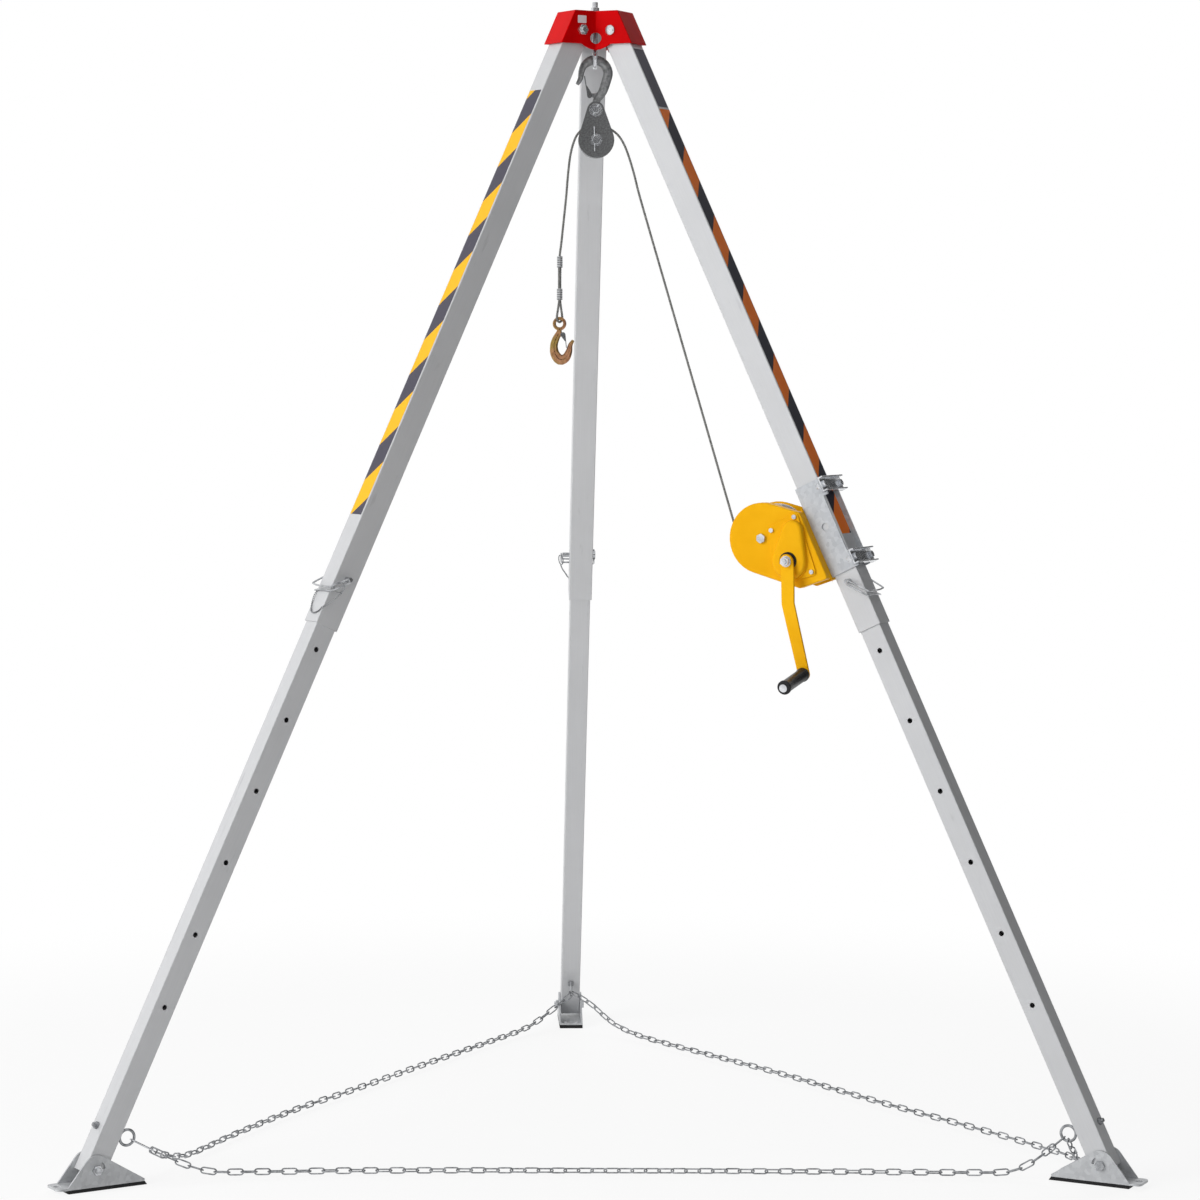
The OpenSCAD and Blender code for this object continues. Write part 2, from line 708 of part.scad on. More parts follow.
// Channel straps with a pad that presses on the leg
module clamp_straps() {
    lip = 8;
    color(steel) at_winch() for (y = strap_mid) difference() {
        union() {
            translate([ear_x - bracket_t, y - strap_w / 2, -strap_half])
                cube([bracket_t, strap_w, 2 * strap_half]);
            for (edge = [-1, 1])
                translate([ear_x - bracket_t - lip, y + edge * (strap_w - bracket_t) / 2 - bracket_t / 2,
                    -strap_half])
                    cube([lip + bracket_t, bracket_t, 2 * strap_half]);
            translate([ear_x - cut_past, y - strap_w / 3, -upper_w / 3])
                cube([bracket_proud + cut_past, strap_w * 2 / 3, upper_w * 2 / 3]);
        }
        for (side = [-1, 1]) translate([0, y, side * bolt_side])
            pin_x(strap_bolt_r + loose_fit, ear_x - 2 * bracket_t, ear_x + cut_past);
    }
}

module bracket_bolts() {
    head_h = 5.5;
    nut_h = 6.5;
    head_x = ear_x - bracket_t;
    nut_x = ear_x + bracket_t;
    color(zinc) at_winch() {
        for (y = strap_mid) for (side = [-1, 1]) translate([0, y, side * bolt_side]) {
            pin_x(strap_bolt_r, head_x - cut_past, nut_x + nut_h + 4);
            hex_x(1.8 * strap_bolt_r, head_x - head_h, head_x);
            hex_x(1.8 * strap_bolt_r, nut_x, nut_x + nut_h);
        }
        for (s = base_screws) translate([0, s[0], s[1]]) {
            pin_x(base_screw_r, upper_w / 2 + loose_fit, base_x + frame_t + cut_past);
            hex_x(1.8 * base_screw_r, base_x + frame_t, base_x + frame_t + head_h);
        }
    }
}

module winch_frame() {
    rim = 2.5;
    slot_h = 11;
    slot_z = near_z + (shell_d - rim - slot_h) / 2;
    color(yellow) at_winch() difference() {
        union() {
            translate([base_x, frame_top - base_past, -near_z])
                cube([frame_t, frame_end - frame_top + 2 * base_past, 2 * near_z]);
            for (z = [-near_z, side_z]) translate([0, 0, z]) linear_extrude(frame_t)
                polygon(shell_outline(0));
            difference() {
                translate([0, 0, side_z]) linear_extrude(shell_z - side_z) polygon(shell_outline(0));
                translate([0, 0, near_z]) linear_extrude(shell_d - rim) polygon(shell_outline(rim));
            }
        }
        translate([drum_in, drum_along, -2 * near_z])
            cylinder(r = axle_r + run_fit, h = 4 * shell_z);
        translate([drum_in, drum_along, side_z - cut_past])
            cylinder(r = hub_r + 1.5, h = frame_t + 2 * cut_past);
        translate([crank_x, crank_y, side_z - cut_past])
            cylinder(r = shaft_r + run_fit, h = shell_z);
        translate([drum_in, drum_along, slot_z]) rotate([0, 0, 234]) rotate_extrude(angle = 32)
            translate([shell_r - 2 * rim, 0]) square([4 * rim, slot_h]);
        for (s = base_screws) translate([0, s[0], s[1]])
            pin_x(base_screw_r + run_fit, 0, base_x + frame_t + cut_past);
        for (s = cover_holes) translate([s[0], s[1], shell_z - rim - cut_past])
            cylinder(r = cover_screw_r + run_fit, h = rim + 2 * cut_past);
    }
}

hub_r = 14;
cover_screw_r = 2.5;
cover_r = 8;
boss_r = 36;
boss_wall = 3;
pawl_at = [base_x + 26, drum_along + 16];
cover_holes = [[drum_in - 27.5, drum_along - 5], [base_x + 12, drum_along - 8.5],
    [base_x + 24, crank_y + 38]];

module gear_cover() {
    flange = belt([[cover_holes[1][0], cover_holes[1][1], cover_r],
        [cover_holes[0][0], cover_holes[0][1], cover_r],
        [crank_x, crank_y, boss_r + 4], [cover_holes[2][0], cover_holes[2][1], cover_r]]);
    boss = [[pawl_at[0], pawl_at[1], 22], [crank_x, crank_y, boss_r]];
    hollow = [for (c = boss) [c[0], c[1], c[2] - boss_wall]];
    color(yellow) at_winch() {
        difference() {
            union() {
                translate([0, 0, shell_z]) linear_extrude(cover_t) polygon(flange);
                translate([0, 0, shell_z]) linear_extrude(boss_h) polygon(belt(boss));
            }
            translate([0, 0, shell_z - cut_past]) linear_extrude(boss_h - boss_wall + cut_past)
                polygon(belt(hollow));
            translate([crank_x, crank_y, shell_z])
                cylinder(r = shaft_r + 5, h = boss_h + cut_past);
            for (s = cover_holes) translate([s[0], s[1], shell_z - cut_past])
                cylinder(r = cover_screw_r + run_fit, h = cover_t + 2 * cut_past);
        }
        translate([pawl_at[0], pawl_at[1], ratchet_z - 0.5])
            cylinder(r = pawl_stud_r, h = boss_z - boss_wall - ratchet_z + cut_past);
    }
}

module cover_screws() {
    color(zinc) at_winch() for (s = cover_holes) translate([s[0], s[1], 0]) {
        translate([0, 0, shell_z - 2.5]) cylinder(r = cover_screw_r, h = cover_t + 3);
        translate([0, 0, shell_z + cover_t]) cylinder(r = 2 * cover_screw_r, h = 3.5, $fn = 6);
    }
}

module drum() {
    half = drum_w / 2;
    flange_t = 2;
    color(steel) at_drum() rotate_extrude() polygon([[axle_r + run_fit, -half - flange_t],
        [flange_r, -half - flange_t], [flange_r, -half], [barrel_r, -half], [barrel_r, half],
        [flange_r, half], [flange_r, half + flange_t], [hub_r, half + flange_t],
        [hub_r, gear_z + gear_t + 1], [axle_r + run_fit, gear_z + gear_t + 1]]);
}

module drum_axle() {
    head_h = 6;
    color(zinc) at_drum() {
        translate([0, 0, -near_z - head_h - 4]) cylinder(r = axle_r, h = near_z + shell_z + head_h + 4);
        translate([0, 0, shell_z]) cylinder(r = 1.65 * axle_r, h = head_h, $fn = 6);
        translate([0, 0, -near_z - head_h]) cylinder(r = 1.65 * axle_r, h = head_h, $fn = 6);
    }
}

module drum_gear() {
    color(steel) at_drum() rotate([0, 0, crank_dir]) translate([0, 0, gear_z])
        linear_extrude(gear_t) difference() {
            polygon(gear_outline(drum_teeth));
            circle(r = hub_r + run_fit / 2);
        }
}

// The drum's outer layer: one helix, straight for a rope's width at each end
wind_pitch = rope_d + 0.6;
wind_steps = 24;
// Angle on the drum where the hoist rope leaves it
wind_start = -6;
wind_coil = [for (i = [0:wind_steps * wind_turns])
    let (turn = i / wind_steps, a = wind_start + 360 * turn)
    [wind_r * cos(a), wind_r * sin(a), wind_pitch * (wind_turns / 2 - turn)]];
wind_last = len(wind_coil) - 1;
function wind_dir(a) = unit([-sin(a), cos(a), -wind_pitch / (2 * PI * wind_r)]);
wind_off = wind_coil[0] - rope_d * wind_dir(wind_start);
wind_run = concat([wind_off], wind_coil,
    [wind_coil[wind_last] + rope_d * wind_dir(wind_start + 360 * wind_turns)]);

// Least gap between places more than half a turn apart
wind_gap = min([for (i = [0:len(wind_run) - 13])
    for (j = [i + 12:min(i + 36, len(wind_run) - 1)])
        norm(wind_run[i] - wind_run[j])]) - rope_d;
echo(least_winding_gap = wind_gap);

module drum_rope() {
    half = drum_w / 2 - face_gap;
    core_r = wind_r - rope_d / 2 - face_gap;
    color(grey) at_drum() {
        tube(wind_run, rope_d / 2, 6, [0, 0, 1]);
        rotate_extrude() polygon([[barrel_r + run_fit, -half], [core_r, -half], [core_r, half],
            [barrel_r + run_fit, half]]);
    }
}

module drive_shaft() {
    color(steel) at_crank() {
        translate([0, 0, side_z - 4]) cylinder(r = shaft_r, h = arm_z + crank_t - side_z + 4);
        rotate([0, 0, crank_dir + 180 + 180 / pinion_teeth]) translate([0, 0, gear_z - 0.5])
            linear_extrude(gear_t + 1) polygon(gear_outline(pinion_teeth));
        translate([0, 0, arm_z]) cylinder(r = 5, h = crank_t + 12);
    }
}

ratchet_teeth = 16;
ratchet_r = boss_r - boss_wall - 11;
ratchet_depth = 3;
ratchet_t = 6;
ratchet_z = shell_z + 2;
// Direction of the tooth that the pawl holds
held_tooth = 150;
pawl_stud_r = 2.5;

function crank_polar(r, a) = [crank_x + r * cos(a), crank_y + r * sin(a)];

// Saw teeth, held by the pawl
module brake_ratchet() {
    root_r = ratchet_r - ratchet_depth;
    color(steel) at_crank() translate([0, 0, ratchet_z]) linear_extrude(ratchet_t) difference() {
        polygon([for (i = [0:ratchet_teeth - 1]) let (a = held_tooth + 360 * i / ratchet_teeth)
            each [[ratchet_r * cos(a), ratchet_r * sin(a)],
                [root_r * cos(a + 2), root_r * sin(a + 2)]]]);
        circle(r = shaft_r + loose_fit);
    }
}

// Arm from the stud to the tooth, with a short bent tip
module brake_pawl() {
    tip_r = 1.2;
    knee = crank_polar(ratchet_r + 2.7, held_tooth + 20);
    tip = crank_polar(ratchet_r - ratchet_depth + tip_r + 3 * face_gap, held_tooth + 6);
    color(steel) at_winch() translate([0, 0, ratchet_z]) linear_extrude(ratchet_t) difference() {
        union() {
            polygon(belt([[pawl_at[0], pawl_at[1], 2 * pawl_stud_r], [knee[0], knee[1], 2]]));
            polygon(belt([[knee[0], knee[1], 2], [tip[0], tip[1], tip_r]]));
        }
        translate(pawl_at) circle(r = pawl_stud_r + run_fit);
    }
}

// Crank frame: X along the arm from the crank's axis, Z along the axis
module at_arm() {
    at_crank() rotate([0, 0, 90 - crank_swing]) children();
}

// Frame of the grip: Z along its pin, from the outer face of the arm's leaning part
module at_grip() {
    at_arm() translate([crank_len, 0, arm_z + crank_end_z + crank_t]) rotate([0, crank_tilt, 0])
        children();
}

module crank_arm() {
    end = crank_len + crank_w / 2;
    start = -crank_w / 2 - 2;
    end_z = crank_step - (end - crank_bend[1]) * tan(crank_tilt);
    profile = [[start, 0], [crank_bend[0], 0], [crank_bend[1], crank_step], [end, end_z],
        [end, end_z + crank_t], [crank_bend[1], crank_step + crank_t],
        [crank_bend[0] - 1, crank_t], [start, crank_t]];
    color(yellow) at_arm() translate([0, 0, arm_z]) difference() {
        intersection() {
            rotate([90, 0, 0]) translate([0, 0, -crank_w]) linear_extrude(2 * crank_w)
                polygon(profile);
            translate([0, 0, -3 * crank_step]) linear_extrude(6 * crank_step)
                polygon(belt([[0, 0, crank_w / 2 + 2], [crank_len, 0, crank_w / 2]]));
        }
        translate([0, 0, -cut_past]) cylinder(r = shaft_r + run_fit / 2, h = crank_t + 2 * cut_past);
        translate([crank_len, 0, crank_end_z + crank_t]) rotate([0, crank_tilt, 0])
            cylinder(r = grip_pin_r + run_fit / 2, h = 6 * crank_t, center = true);
    }
}

// Direction of the arm, inward from the leg's own direction
crank_swing = 16.5;
// Distances of the arm's two bends from the crank's axis
crank_bend = [18, 82];
crank_end_z = crank_step - (crank_len - crank_bend[1]) * tan(crank_tilt);

module crank_nut() {
    color(zinc) at_crank() translate([0, 0, arm_z + crank_t]) difference() {
        union() {
            cylinder(r = 11, h = 1.6);
            translate([0, 0, 1.6]) cylinder(r = 9.5, h = 8, $fn = 6);
        }
        translate([0, 0, -cut_past]) cylinder(r = 5 + run_fit / 2, h = 14);
    }
}

module crank_grip() {
    lip = 2;
    r = grip_r;
    color(black) at_grip() translate([0, 0, grip_gap]) rotate_extrude()
        polygon([[grip_pin_r + run_fit, 0], [r - lip, 0], [r, lip], [r, 3 * lip], [r - 1.5, 5 * lip],
            [r - 1.5, grip_len - 5 * lip], [r, grip_len - 3 * lip], [r, grip_len - lip],
            [r - lip, grip_len], [grip_pin_r + run_fit, grip_len]]);
}

module grip_pin() {
    under = crank_t * cos(crank_tilt);
    end_t = 3;
    color(zinc) at_grip() {
        translate([0, 0, -under - end_t])
            cylinder(r = grip_pin_r, h = under + grip_gap + grip_len + 2 * end_t);
        translate([0, 0, grip_gap + grip_len + face_gap]) cylinder(r = 1.6 * grip_pin_r, h = end_t);
        translate([0, 0, -under - end_t]) cylinder(r = 1.6 * grip_pin_r, h = end_t);
    }
}

grip_gap = 1;

// Block

bowl_r = 27;
hook_bar = 10;
block_tilt = 1.6;
// The hook's bowl hangs on the eye bolt's ring
bowl_z = eye_z - eye_ring_r + eye_wire_r + face_gap + hook_bar - bowl_r;
hook_pin_z = -72.5;
sheave_z = hook_pin_z - cheek_len;

// Frame of the block: at the middle of its hook's bowl, hanging a little aslant
module at_block() {
    translate([0, stance_y, bowl_z]) rotate([0, -block_tilt, 0]) children();
}
function block_point(x, y, z) =
    [x * cos(block_tilt) - z * sin(block_tilt), y + stance_y,
     bowl_z + x * sin(block_tilt) + z * cos(block_tilt)];

// A hook bent in the XZ plane, from points [x, z, radius]
module bent_hook(route, steps) {
    run = smooth(route, steps);
    tube([for (p = run) [p[0], 0, p[1]]], [for (p = run) p[2]], 10, [0, 1, 0], 0.75);
}

module block_hook() {
    eye_t = sheave_w - 1;
    route = concat([[0, hook_pin_z + 9, 8], [4, -51, 8.5], [15, -36, 9.5]],
        [for (a = [-30, 5, 40, 70, 90, 110, 140, 170])
            [bowl_r * cos(a), bowl_r * sin(a), a < 115 ? hook_bar : a < 150 ? 8 : 6.5]],
        [[-29, -9, 5.5], [-36, -21, 4]]);
    color(grey) at_block() difference() {
        union() {
            bent_hook(route, 3);
            translate([0, 0, hook_pin_z]) pin_y(2.2 * hook_pin_r, -eye_t / 2, eye_t / 2);
            translate([-11, 0, -43]) pin_y(4, -3, 3);
            translate([-11, -3, -47]) cube([14, 6, 8]);
        }
        translate([0, 0, hook_pin_z]) pin_y(hook_pin_r + run_fit, -eye_t, eye_t);
        translate([-11, 0, -43]) pin_y(latch_pin_r + run_fit / 2, -eye_t, eye_t);
    }
}

latch_pin_r = 2;

// Sprung keeper: two ears on a pin and a tongue along +X
module keeper(len, w) {
    ear_t = 1.8;
    difference() {
        union() {
            for (side = [-1, 1]) translate([0, side * (w - ear_t) / 2, 0])
                plate_y(belt([[0, 0, 5], [len * 0.45, 3.4, 1.5]]), ear_t);
            translate([3, -w / 2, 3.4]) cube([len - 3, w, 1.6]);
        }
        pin_y(latch_pin_r + run_fit, -w, w);
        translate([-6, -w / 2 + ear_t, -6]) cube([11.5, w - 2 * ear_t, 20]);
    }
    pin_y(latch_pin_r, -w / 2 - 1, w / 2 + 1);
}

module block_latch() {
    color(zinc) at_block() translate([-11, 0, -43]) rotate([0, -98, 0]) keeper(40, 11);
}

module block_cheeks() {
    outline = belt([[0, sheave_z, cheek_r], [0, hook_pin_z, cheek_top_r]]);
    middle = sheave_w / 2 + 2 * face_gap + cheek_t / 2;
    color(grey) at_block() for (side = [-1, 1]) translate([0, side * middle, 0]) difference() {
        plate_y(outline, cheek_t);
        translate([0, 0, hook_pin_z]) pin_y(hook_pin_r + run_fit / 2, -cheek_t, cheek_t);
        translate([0, 0, sheave_z]) pin_y(sheave_axle_r + run_fit / 2, -cheek_t, cheek_t);
    }
}

module block_pins() {
    out = sheave_w / 2 + 2 * face_gap + cheek_t;
    head_t = 3;
    clip_r = 1.4;
    color(zinc) at_block() {
        translate([0, 0, hook_pin_z]) {
            pin_y(hook_pin_r, -out - 5, out);
            pin_y(1.5 * hook_pin_r, out, out + head_t);
            pin_y(2.2 * hook_pin_r, -out - 1.5, -out);
            translate([0, -out - 3.4, 0]) rotate([0, 30, 0]) cylinder(r = clip_r, h = 24, center = true);
        }
        translate([0, 0, sheave_z]) {
            pin_y(sheave_axle_r, -out - 6, out);
            pin_y(1.4 * sheave_axle_r, out, out + head_t);
            pin_y(1.5 * sheave_axle_r, -out - 1.5, -out);
            translate([-4, -out - 3.6, 2]) cylinder(r = clip_r, h = 50, center = true);
        }
    }
}

module sheave() {
    half = sheave_w / 2;
    floor_r = rope_turn_r - rope_d / 2 - face_gap;
    rim_r = cheek_r - 0.5;
    color(steel) at_block() translate([0, 0, sheave_z]) rotate([90, 0, 0]) rotate_extrude()
        polygon([[sheave_axle_r + run_fit, -half], [rim_r, -half], [rim_r, -half + 1.5],
            [floor_r, -rope_d / 2 - 0.5], [floor_r, rope_d / 2 + 0.5], [rim_r, half - 1.5],
            [rim_r, half], [sheave_axle_r + run_fit, half]]);
}

// Rope

rope_r = rope_d / 2;
// Angles on the sheave where the rope leaves it
sheave_off = [55, 125];
// Gap left between two stretches of rope
rope_join = 1.2;
function sheave_point(a) = block_point(rope_turn_r * cos(a), 0, sheave_z + rope_turn_r * sin(a));
drum_off = leg_point(right_az, -drum_in - wind_off[0], -wind_off[2], drum_along + wind_off[1]);

// Hand-chosen points of the rope beside the block, from the sheave's axle
axle_at = block_point(0, 0, sheave_z);
hoist_points = [[39, -4, 15], [52, -12, -2], [63, -19, -28], [75, -28, -68], [88, -39, -120]];
fall_points = [[-31, 0, 19], [-42, 0, 4], [-51, 0, -26], [-56, 0, -65], [-60, 0, -115],
    [-65, 0, -165], [-69, 0, -205]];
fall_x = -72;
ferrule_up = [124, 59];
ferrule_len = 23;
strand_off = 2.8;
eye_spread = 10;
// Directions of the doubled rope and of its eye, which lies across the hook's eye
strand_turn = 65;
eye_turn = 55;
function fall_place(across, up, turn) = axle_at
    + [fall_x + across * cos(turn), across * sin(turn), up - fall_drop];

module hoist_rope() {
    near = [for (p = hoist_points) axle_at + p];
    last = near[len(near) - 1];
    end = drum_off + rope_join * unit(last - drum_off);
    straight = [for (k = [1:4]) last + (end - last) * k / 4];
    color(grey) tube(even_run(smooth(concat([sheave_point(sheave_off[0])], near, straight), 6), 64),
        rope_r, 8);
}

module sheave_rope() {
    join_turn = rope_join / rope_turn_r * 180 / PI;
    from = sheave_off[0] + join_turn;
    span = sheave_off[1] - join_turn - from;
    steps = arc_steps(span) * 2;
    color(grey) tube([for (k = [0:steps]) sheave_point(from + span * k / steps)], rope_r, 8);
}

module fall_rope() {
    bend_up = 3 + eye_spread;
    neck_up = ferrule_up[1] - 14;
    down = concat([sheave_point(sheave_off[1])], [for (p = fall_points) axle_at + p],
        [for (up = ferrule_up) fall_place(-strand_off, up, strand_turn)]);
    eye = concat([fall_place(-strand_off, neck_up, strand_turn)],
        [for (a = [180:30:360])
            fall_place(eye_spread * cos(a), bend_up + eye_spread * sin(a), eye_turn)],
        [fall_place(strand_off, neck_up, strand_turn)]);
    up = [fall_place(strand_off, ferrule_up[1], strand_turn),
        fall_place(strand_off, ferrule_up[0] - 4, strand_turn)];
    color(grey) tube(even_run(smooth(concat(down, eye, up), 6), 74), rope_r, 8);
}

module rope_ferrules() {
    wide = rope_d + 2 * strand_off + 4;
    deep = rope_d + 4;
    hole = rope_d + 2 * face_gap;
    color(zinc) for (up = ferrule_up) translate(fall_place(0, up - ferrule_len / 2, 0))
        rotate([0, 0, strand_turn]) linear_extrude(ferrule_len) difference() {
            polygon(rounded(wide, deep, deep / 2 - 0.2));
            square([hole + 2 * strand_off, hole], center = true);
        }
}

hook_eye_r = 10.5;
hook_eye_wire = 3.5;
load_hook_route = [[0, -hook_eye_r, 4], [-1, -18, 6], [-7, -30, 7.5], [-11, -44, 8.2], [-9, -60, 9],
    [1, -72, 9.5], [13, -68, 8], [19.5, -55, 6.5], [22, -43, 5], [28, -33, 3]];
load_latch_at = [7, -22];

module at_load_hook() {
    translate(fall_place(0, 0, 0)) children();
}

module load_hook() {
    color([0.72, 0.55, 0.32]) at_load_hook() difference() {
        union() {
            ring_y(hook_eye_r, hook_eye_wire);
            bent_hook(load_hook_route, 3);
            translate([load_latch_at[0], 0, load_latch_at[1]]) pin_y(4, -3, 3);
            translate([load_latch_at[0] - 8, -3, load_latch_at[1] - 4]) cube([8, 6, 8]);
        }
        translate([load_latch_at[0], 0, load_latch_at[1]]) pin_y(latch_pin_r + run_fit / 2, -20, 20);
    }
}

module load_latch() {
    color(zinc) at_load_hook() translate([load_latch_at[0], 0, load_latch_at[1]])
        rotate([0, 84, 0]) keeper(27, 11);
}

// Chain

link_gap_run = 0.8;
link_half = (link_in + link_wire) / 2;
link_pitch = link_in - 1.7;
snap_wire = 2;
snap_len = 52;
snap_end_r = 8;
snap_slope = 30;

// Distance from the middle of a wire to the middle of a link that hangs on it
function hung(wire_r) = link_half - wire_r - link_gap_run - link_wire / 2;

function eye_centre(az) = leg_point(az, -chain_eye_in, 0, leg_len - eye_above_bolt);
function leg_side(az) = [-sin(az), cos(az), 0];
function eye_link_dir(az, slope, turn) = cos(turn) * inward(az, slope) + sin(turn) * leg_side(az);
function eye_link_side(az, slope, turn) = cos(turn) * leg_side(az) - sin(turn) * inward(az, slope);
// Middles of the link on a leg's eye and of the next one in line with it
function eye_links(az, slope, turn) = [for (further = [0, link_pitch])
    eye_centre(az) + chain_eye_r * inward(az, slope)
    + (hung(chain_eye_wire) + further) * eye_link_dir(az, slope, turn)];

snap_dir = inward(left_az, snap_slope);
snap_side = leg_side(left_az);
snap_normal = cross(snap_dir, snap_side);
snap_start = eye_centre(left_az)
    + (chain_eye_r - chain_eye_wire - link_gap_run - snap_wire) * snap_dir;
snap_far = snap_start + (snap_len - snap_end_r) * snap_dir;
function snap_turn(a) = cos(a) * snap_dir + sin(a) * snap_side;
function snap_links(a) = [for (further = [0, link_pitch])
    snap_far + (snap_end_r + hung(snap_wire) + further) * snap_turn(a)];

module snap_hook() {
    small_r = 6;
    near_c = snap_start + small_r * snap_dir;
    loop = concat([for (a = [-80:16:80]) snap_far + snap_end_r * snap_turn(a)],
        [for (a = [100:20:260]) near_c + small_r * snap_turn(a)]);
    color(zinc) wire_loop(loop, snap_wire, snap_normal, 8);
}

// One link with its long axis on X, flat in the XY plane
module link() {
    outer_w = link_gap + 2 * link_wire;
    outer_l = link_in + 2 * link_wire;
    translate([0, 0, -link_wire / 2]) linear_extrude(link_wire) difference() {
        polygon(stadium(outer_l, outer_w));
        polygon(stadium(link_in, link_gap));
    }
}

function stadium(l, w) = [for (end = [0, 180]) for (a = [-90:36:90])
    let (c = cos(end) * (l - w) / 2)
    [c + w / 2 * cos(end + a), w / 2 * sin(end + a)]];

// Roll about a direction that turns a level side vector to the given one
function roll_of(ahead, side) =
    let (level = unit([-ahead[1], ahead[0], 0]))
    atan2(side * cross(ahead, level), side * level);

// The same route with its corners cut, so that it bends evenly
function cut_corners(p, rounds) = rounds == 0 ? p : let (m = len(p) - 1)
    cut_corners([p[0], for (i = [0:m - 1]) each [0.75 * p[i] + 0.25 * p[i + 1],
        0.25 * p[i] + 0.75 * p[i + 1]], p[m]], rounds - 1);

// Links along a route, from the middle of the first to the middle of the last,
// with the side vectors that lie in the planes of those two links
module chain(route, first_side, last_side) {
    p = cut_corners(route, 3);
    run = run_lengths(p);
    whole = run[len(run) - 1];
    count = round(whole / link_pitch);
    ahead = [for (k = [0:count]) let (s = whole * k / count)
        unit(at_length(p, run, min(s + link_half, whole)) - at_length(p, run, max(s - link_half, 0)))];
    side = carried(ahead, first_side);
    over = roll_of(ahead[count], last_side) - roll_of(ahead[count], side[count]) - 90 * (count % 2);
    twist = over - 180 * round(over / 180);
    for (k = [0:count]) translate(at_length(p, run, whole * k / count))
        rotate([roll_of(ahead[k], side[k]) + twist * k / count + 90 * (k % 2),
            -asin(ahead[k][2]), atan2(ahead[k][1], ahead[k][0])])
            link();
}

chain_clear = 4.5;
chain_z = link_gap / 2 + link_wire + chain_clear;
// Foot radius that the chains' points were chosen for
chosen_foot_r = 1107;
function on_ground(p) = let (k = foot_r / chosen_foot_r)
    [for (q = p) [k * q[0], k * q[1] + stance_y, q[2] == 0 ? chain_z : q[2]]];

// Hand-chosen points of the chains, from the head's centre line at the ground
left_back_points = [[-820, -408, 26], [-795, -345, 13], [-760, -260, 0], [-722, -165, 0],
    [-597, 93, 0], [-508, 234, 0], [-353, 514, 0], [-198, 782, 0], [-105, 930, 14], [-62, 985, 34]];
left_right_points = [[-780, -497, 28], [-740, -489, 14], [-685, -478, 0], [-400, -468, 0],
    [77, -483, 0], [500, -500, 0], [735, -514, 0], [790, -518, 14], [828, -520, 34]];
back_right_points = [[58, 972, 52], [92, 925, 26], [140, 858, 14], [199, 769, 0], [430, 435, 0],
    [611, 128, 0], [799, -157, 0], [878, -291, 0], [906, -337, 0], [926, -380, 0], [930, -425, 13],
    [922, -462, 28]];
// How far each end link turns aside from the leg's plane
end_turn = 50;
function backward(p) = [for (i = [len(p) - 1:-1:0]) p[i]];

module chain_left_back() {
    color(zinc) chain(concat(snap_links(-35), on_ground(left_back_points),
        backward(eye_links(back_az, 55, end_turn))),
        snap_normal, eye_link_side(back_az, 55, end_turn));
}

module chain_left_right() {
    color(zinc) chain(concat(snap_links(35), on_ground(left_right_points),
        backward(eye_links(right_az, 45, -35))),
        snap_normal, eye_link_side(right_az, 45, -35));
}

module chain_back_right() {
    color(zinc) chain(concat(eye_links(back_az, 25, -end_turn), on_ground(back_right_points),
        backward(eye_links(right_az, 90, end_turn))),
        eye_link_side(back_az, 25, -end_turn), eye_link_side(right_az, 90, end_turn));
}

head_shell();
eye_bolt();
pivot_bolts();
pivot_washers();
upper_tube(left_az);  // left_upper_tube
upper_tube(right_az);  // right_upper_tube
upper_tube(back_az);  // back_upper_tube
lower_tube(left_az);  // left_lower_tube
lower_tube(right_az);  // right_lower_tube
lower_tube(back_az);  // back_lower_tube
lock_pin(left_az, false, left_droop);  // left_lock_pin
lock_pin(right_az, true, right_droop);  // right_lock_pin
lock_pin(back_az, false, left_droop);  // back_lock_pin
bail(left_az, false, left_droop);  // left_bail
bail(right_az, true, right_droop);  // right_bail
bail(back_az, false, left_droop);  // back_bail
chain_eye(left_az);  // left_chain_eye
chain_eye(right_az);  // right_chain_eye
chain_eye(back_az);  // back_chain_eye
foot_bolt(left_az);  // left_foot_bolt
foot_bolt(right_az);  // right_foot_bolt
foot_bolt(back_az);  // back_foot_bolt
foot_bracket(left_az);  // left_foot_bracket
foot_bracket(right_az);  // right_foot_bracket
foot_bracket(back_az);  // back_foot_bracket
foot_pad(left_az);  // left_foot_pad
foot_pad(right_az);  // right_foot_pad
foot_pad(back_az);  // back_foot_pad
winch_bracket();
clamp_straps();
bracket_bolts();
winch_frame();
gear_cover();
cover_screws();
drum();
drum_axle();
drum_gear();
drum_rope();
drive_shaft();
brake_ratchet();
brake_pawl();
crank_arm();
crank_nut();
crank_grip();
grip_pin();
block_hook();
block_latch();
block_cheeks();
block_pins();
sheave();
hoist_rope();
sheave_rope();
fall_rope();
rope_ferrules();
load_hook();
load_latch();
snap_hook();
chain_left_back();
chain_left_right();
chain_back_right();
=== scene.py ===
# %% [markdown]
# # A rescue tripod
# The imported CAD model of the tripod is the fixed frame: every leg, bolt and hook already has its place and
# its joint. This lesson dresses that frame. Ropes, chains, hooks and tape are made anew, and the rigid pieces
# get softened edges and a finish each.

# %% Load the frame
import json
import math

import bmesh
import bpy
import numpy as np
from mathutils import Matrix, Vector


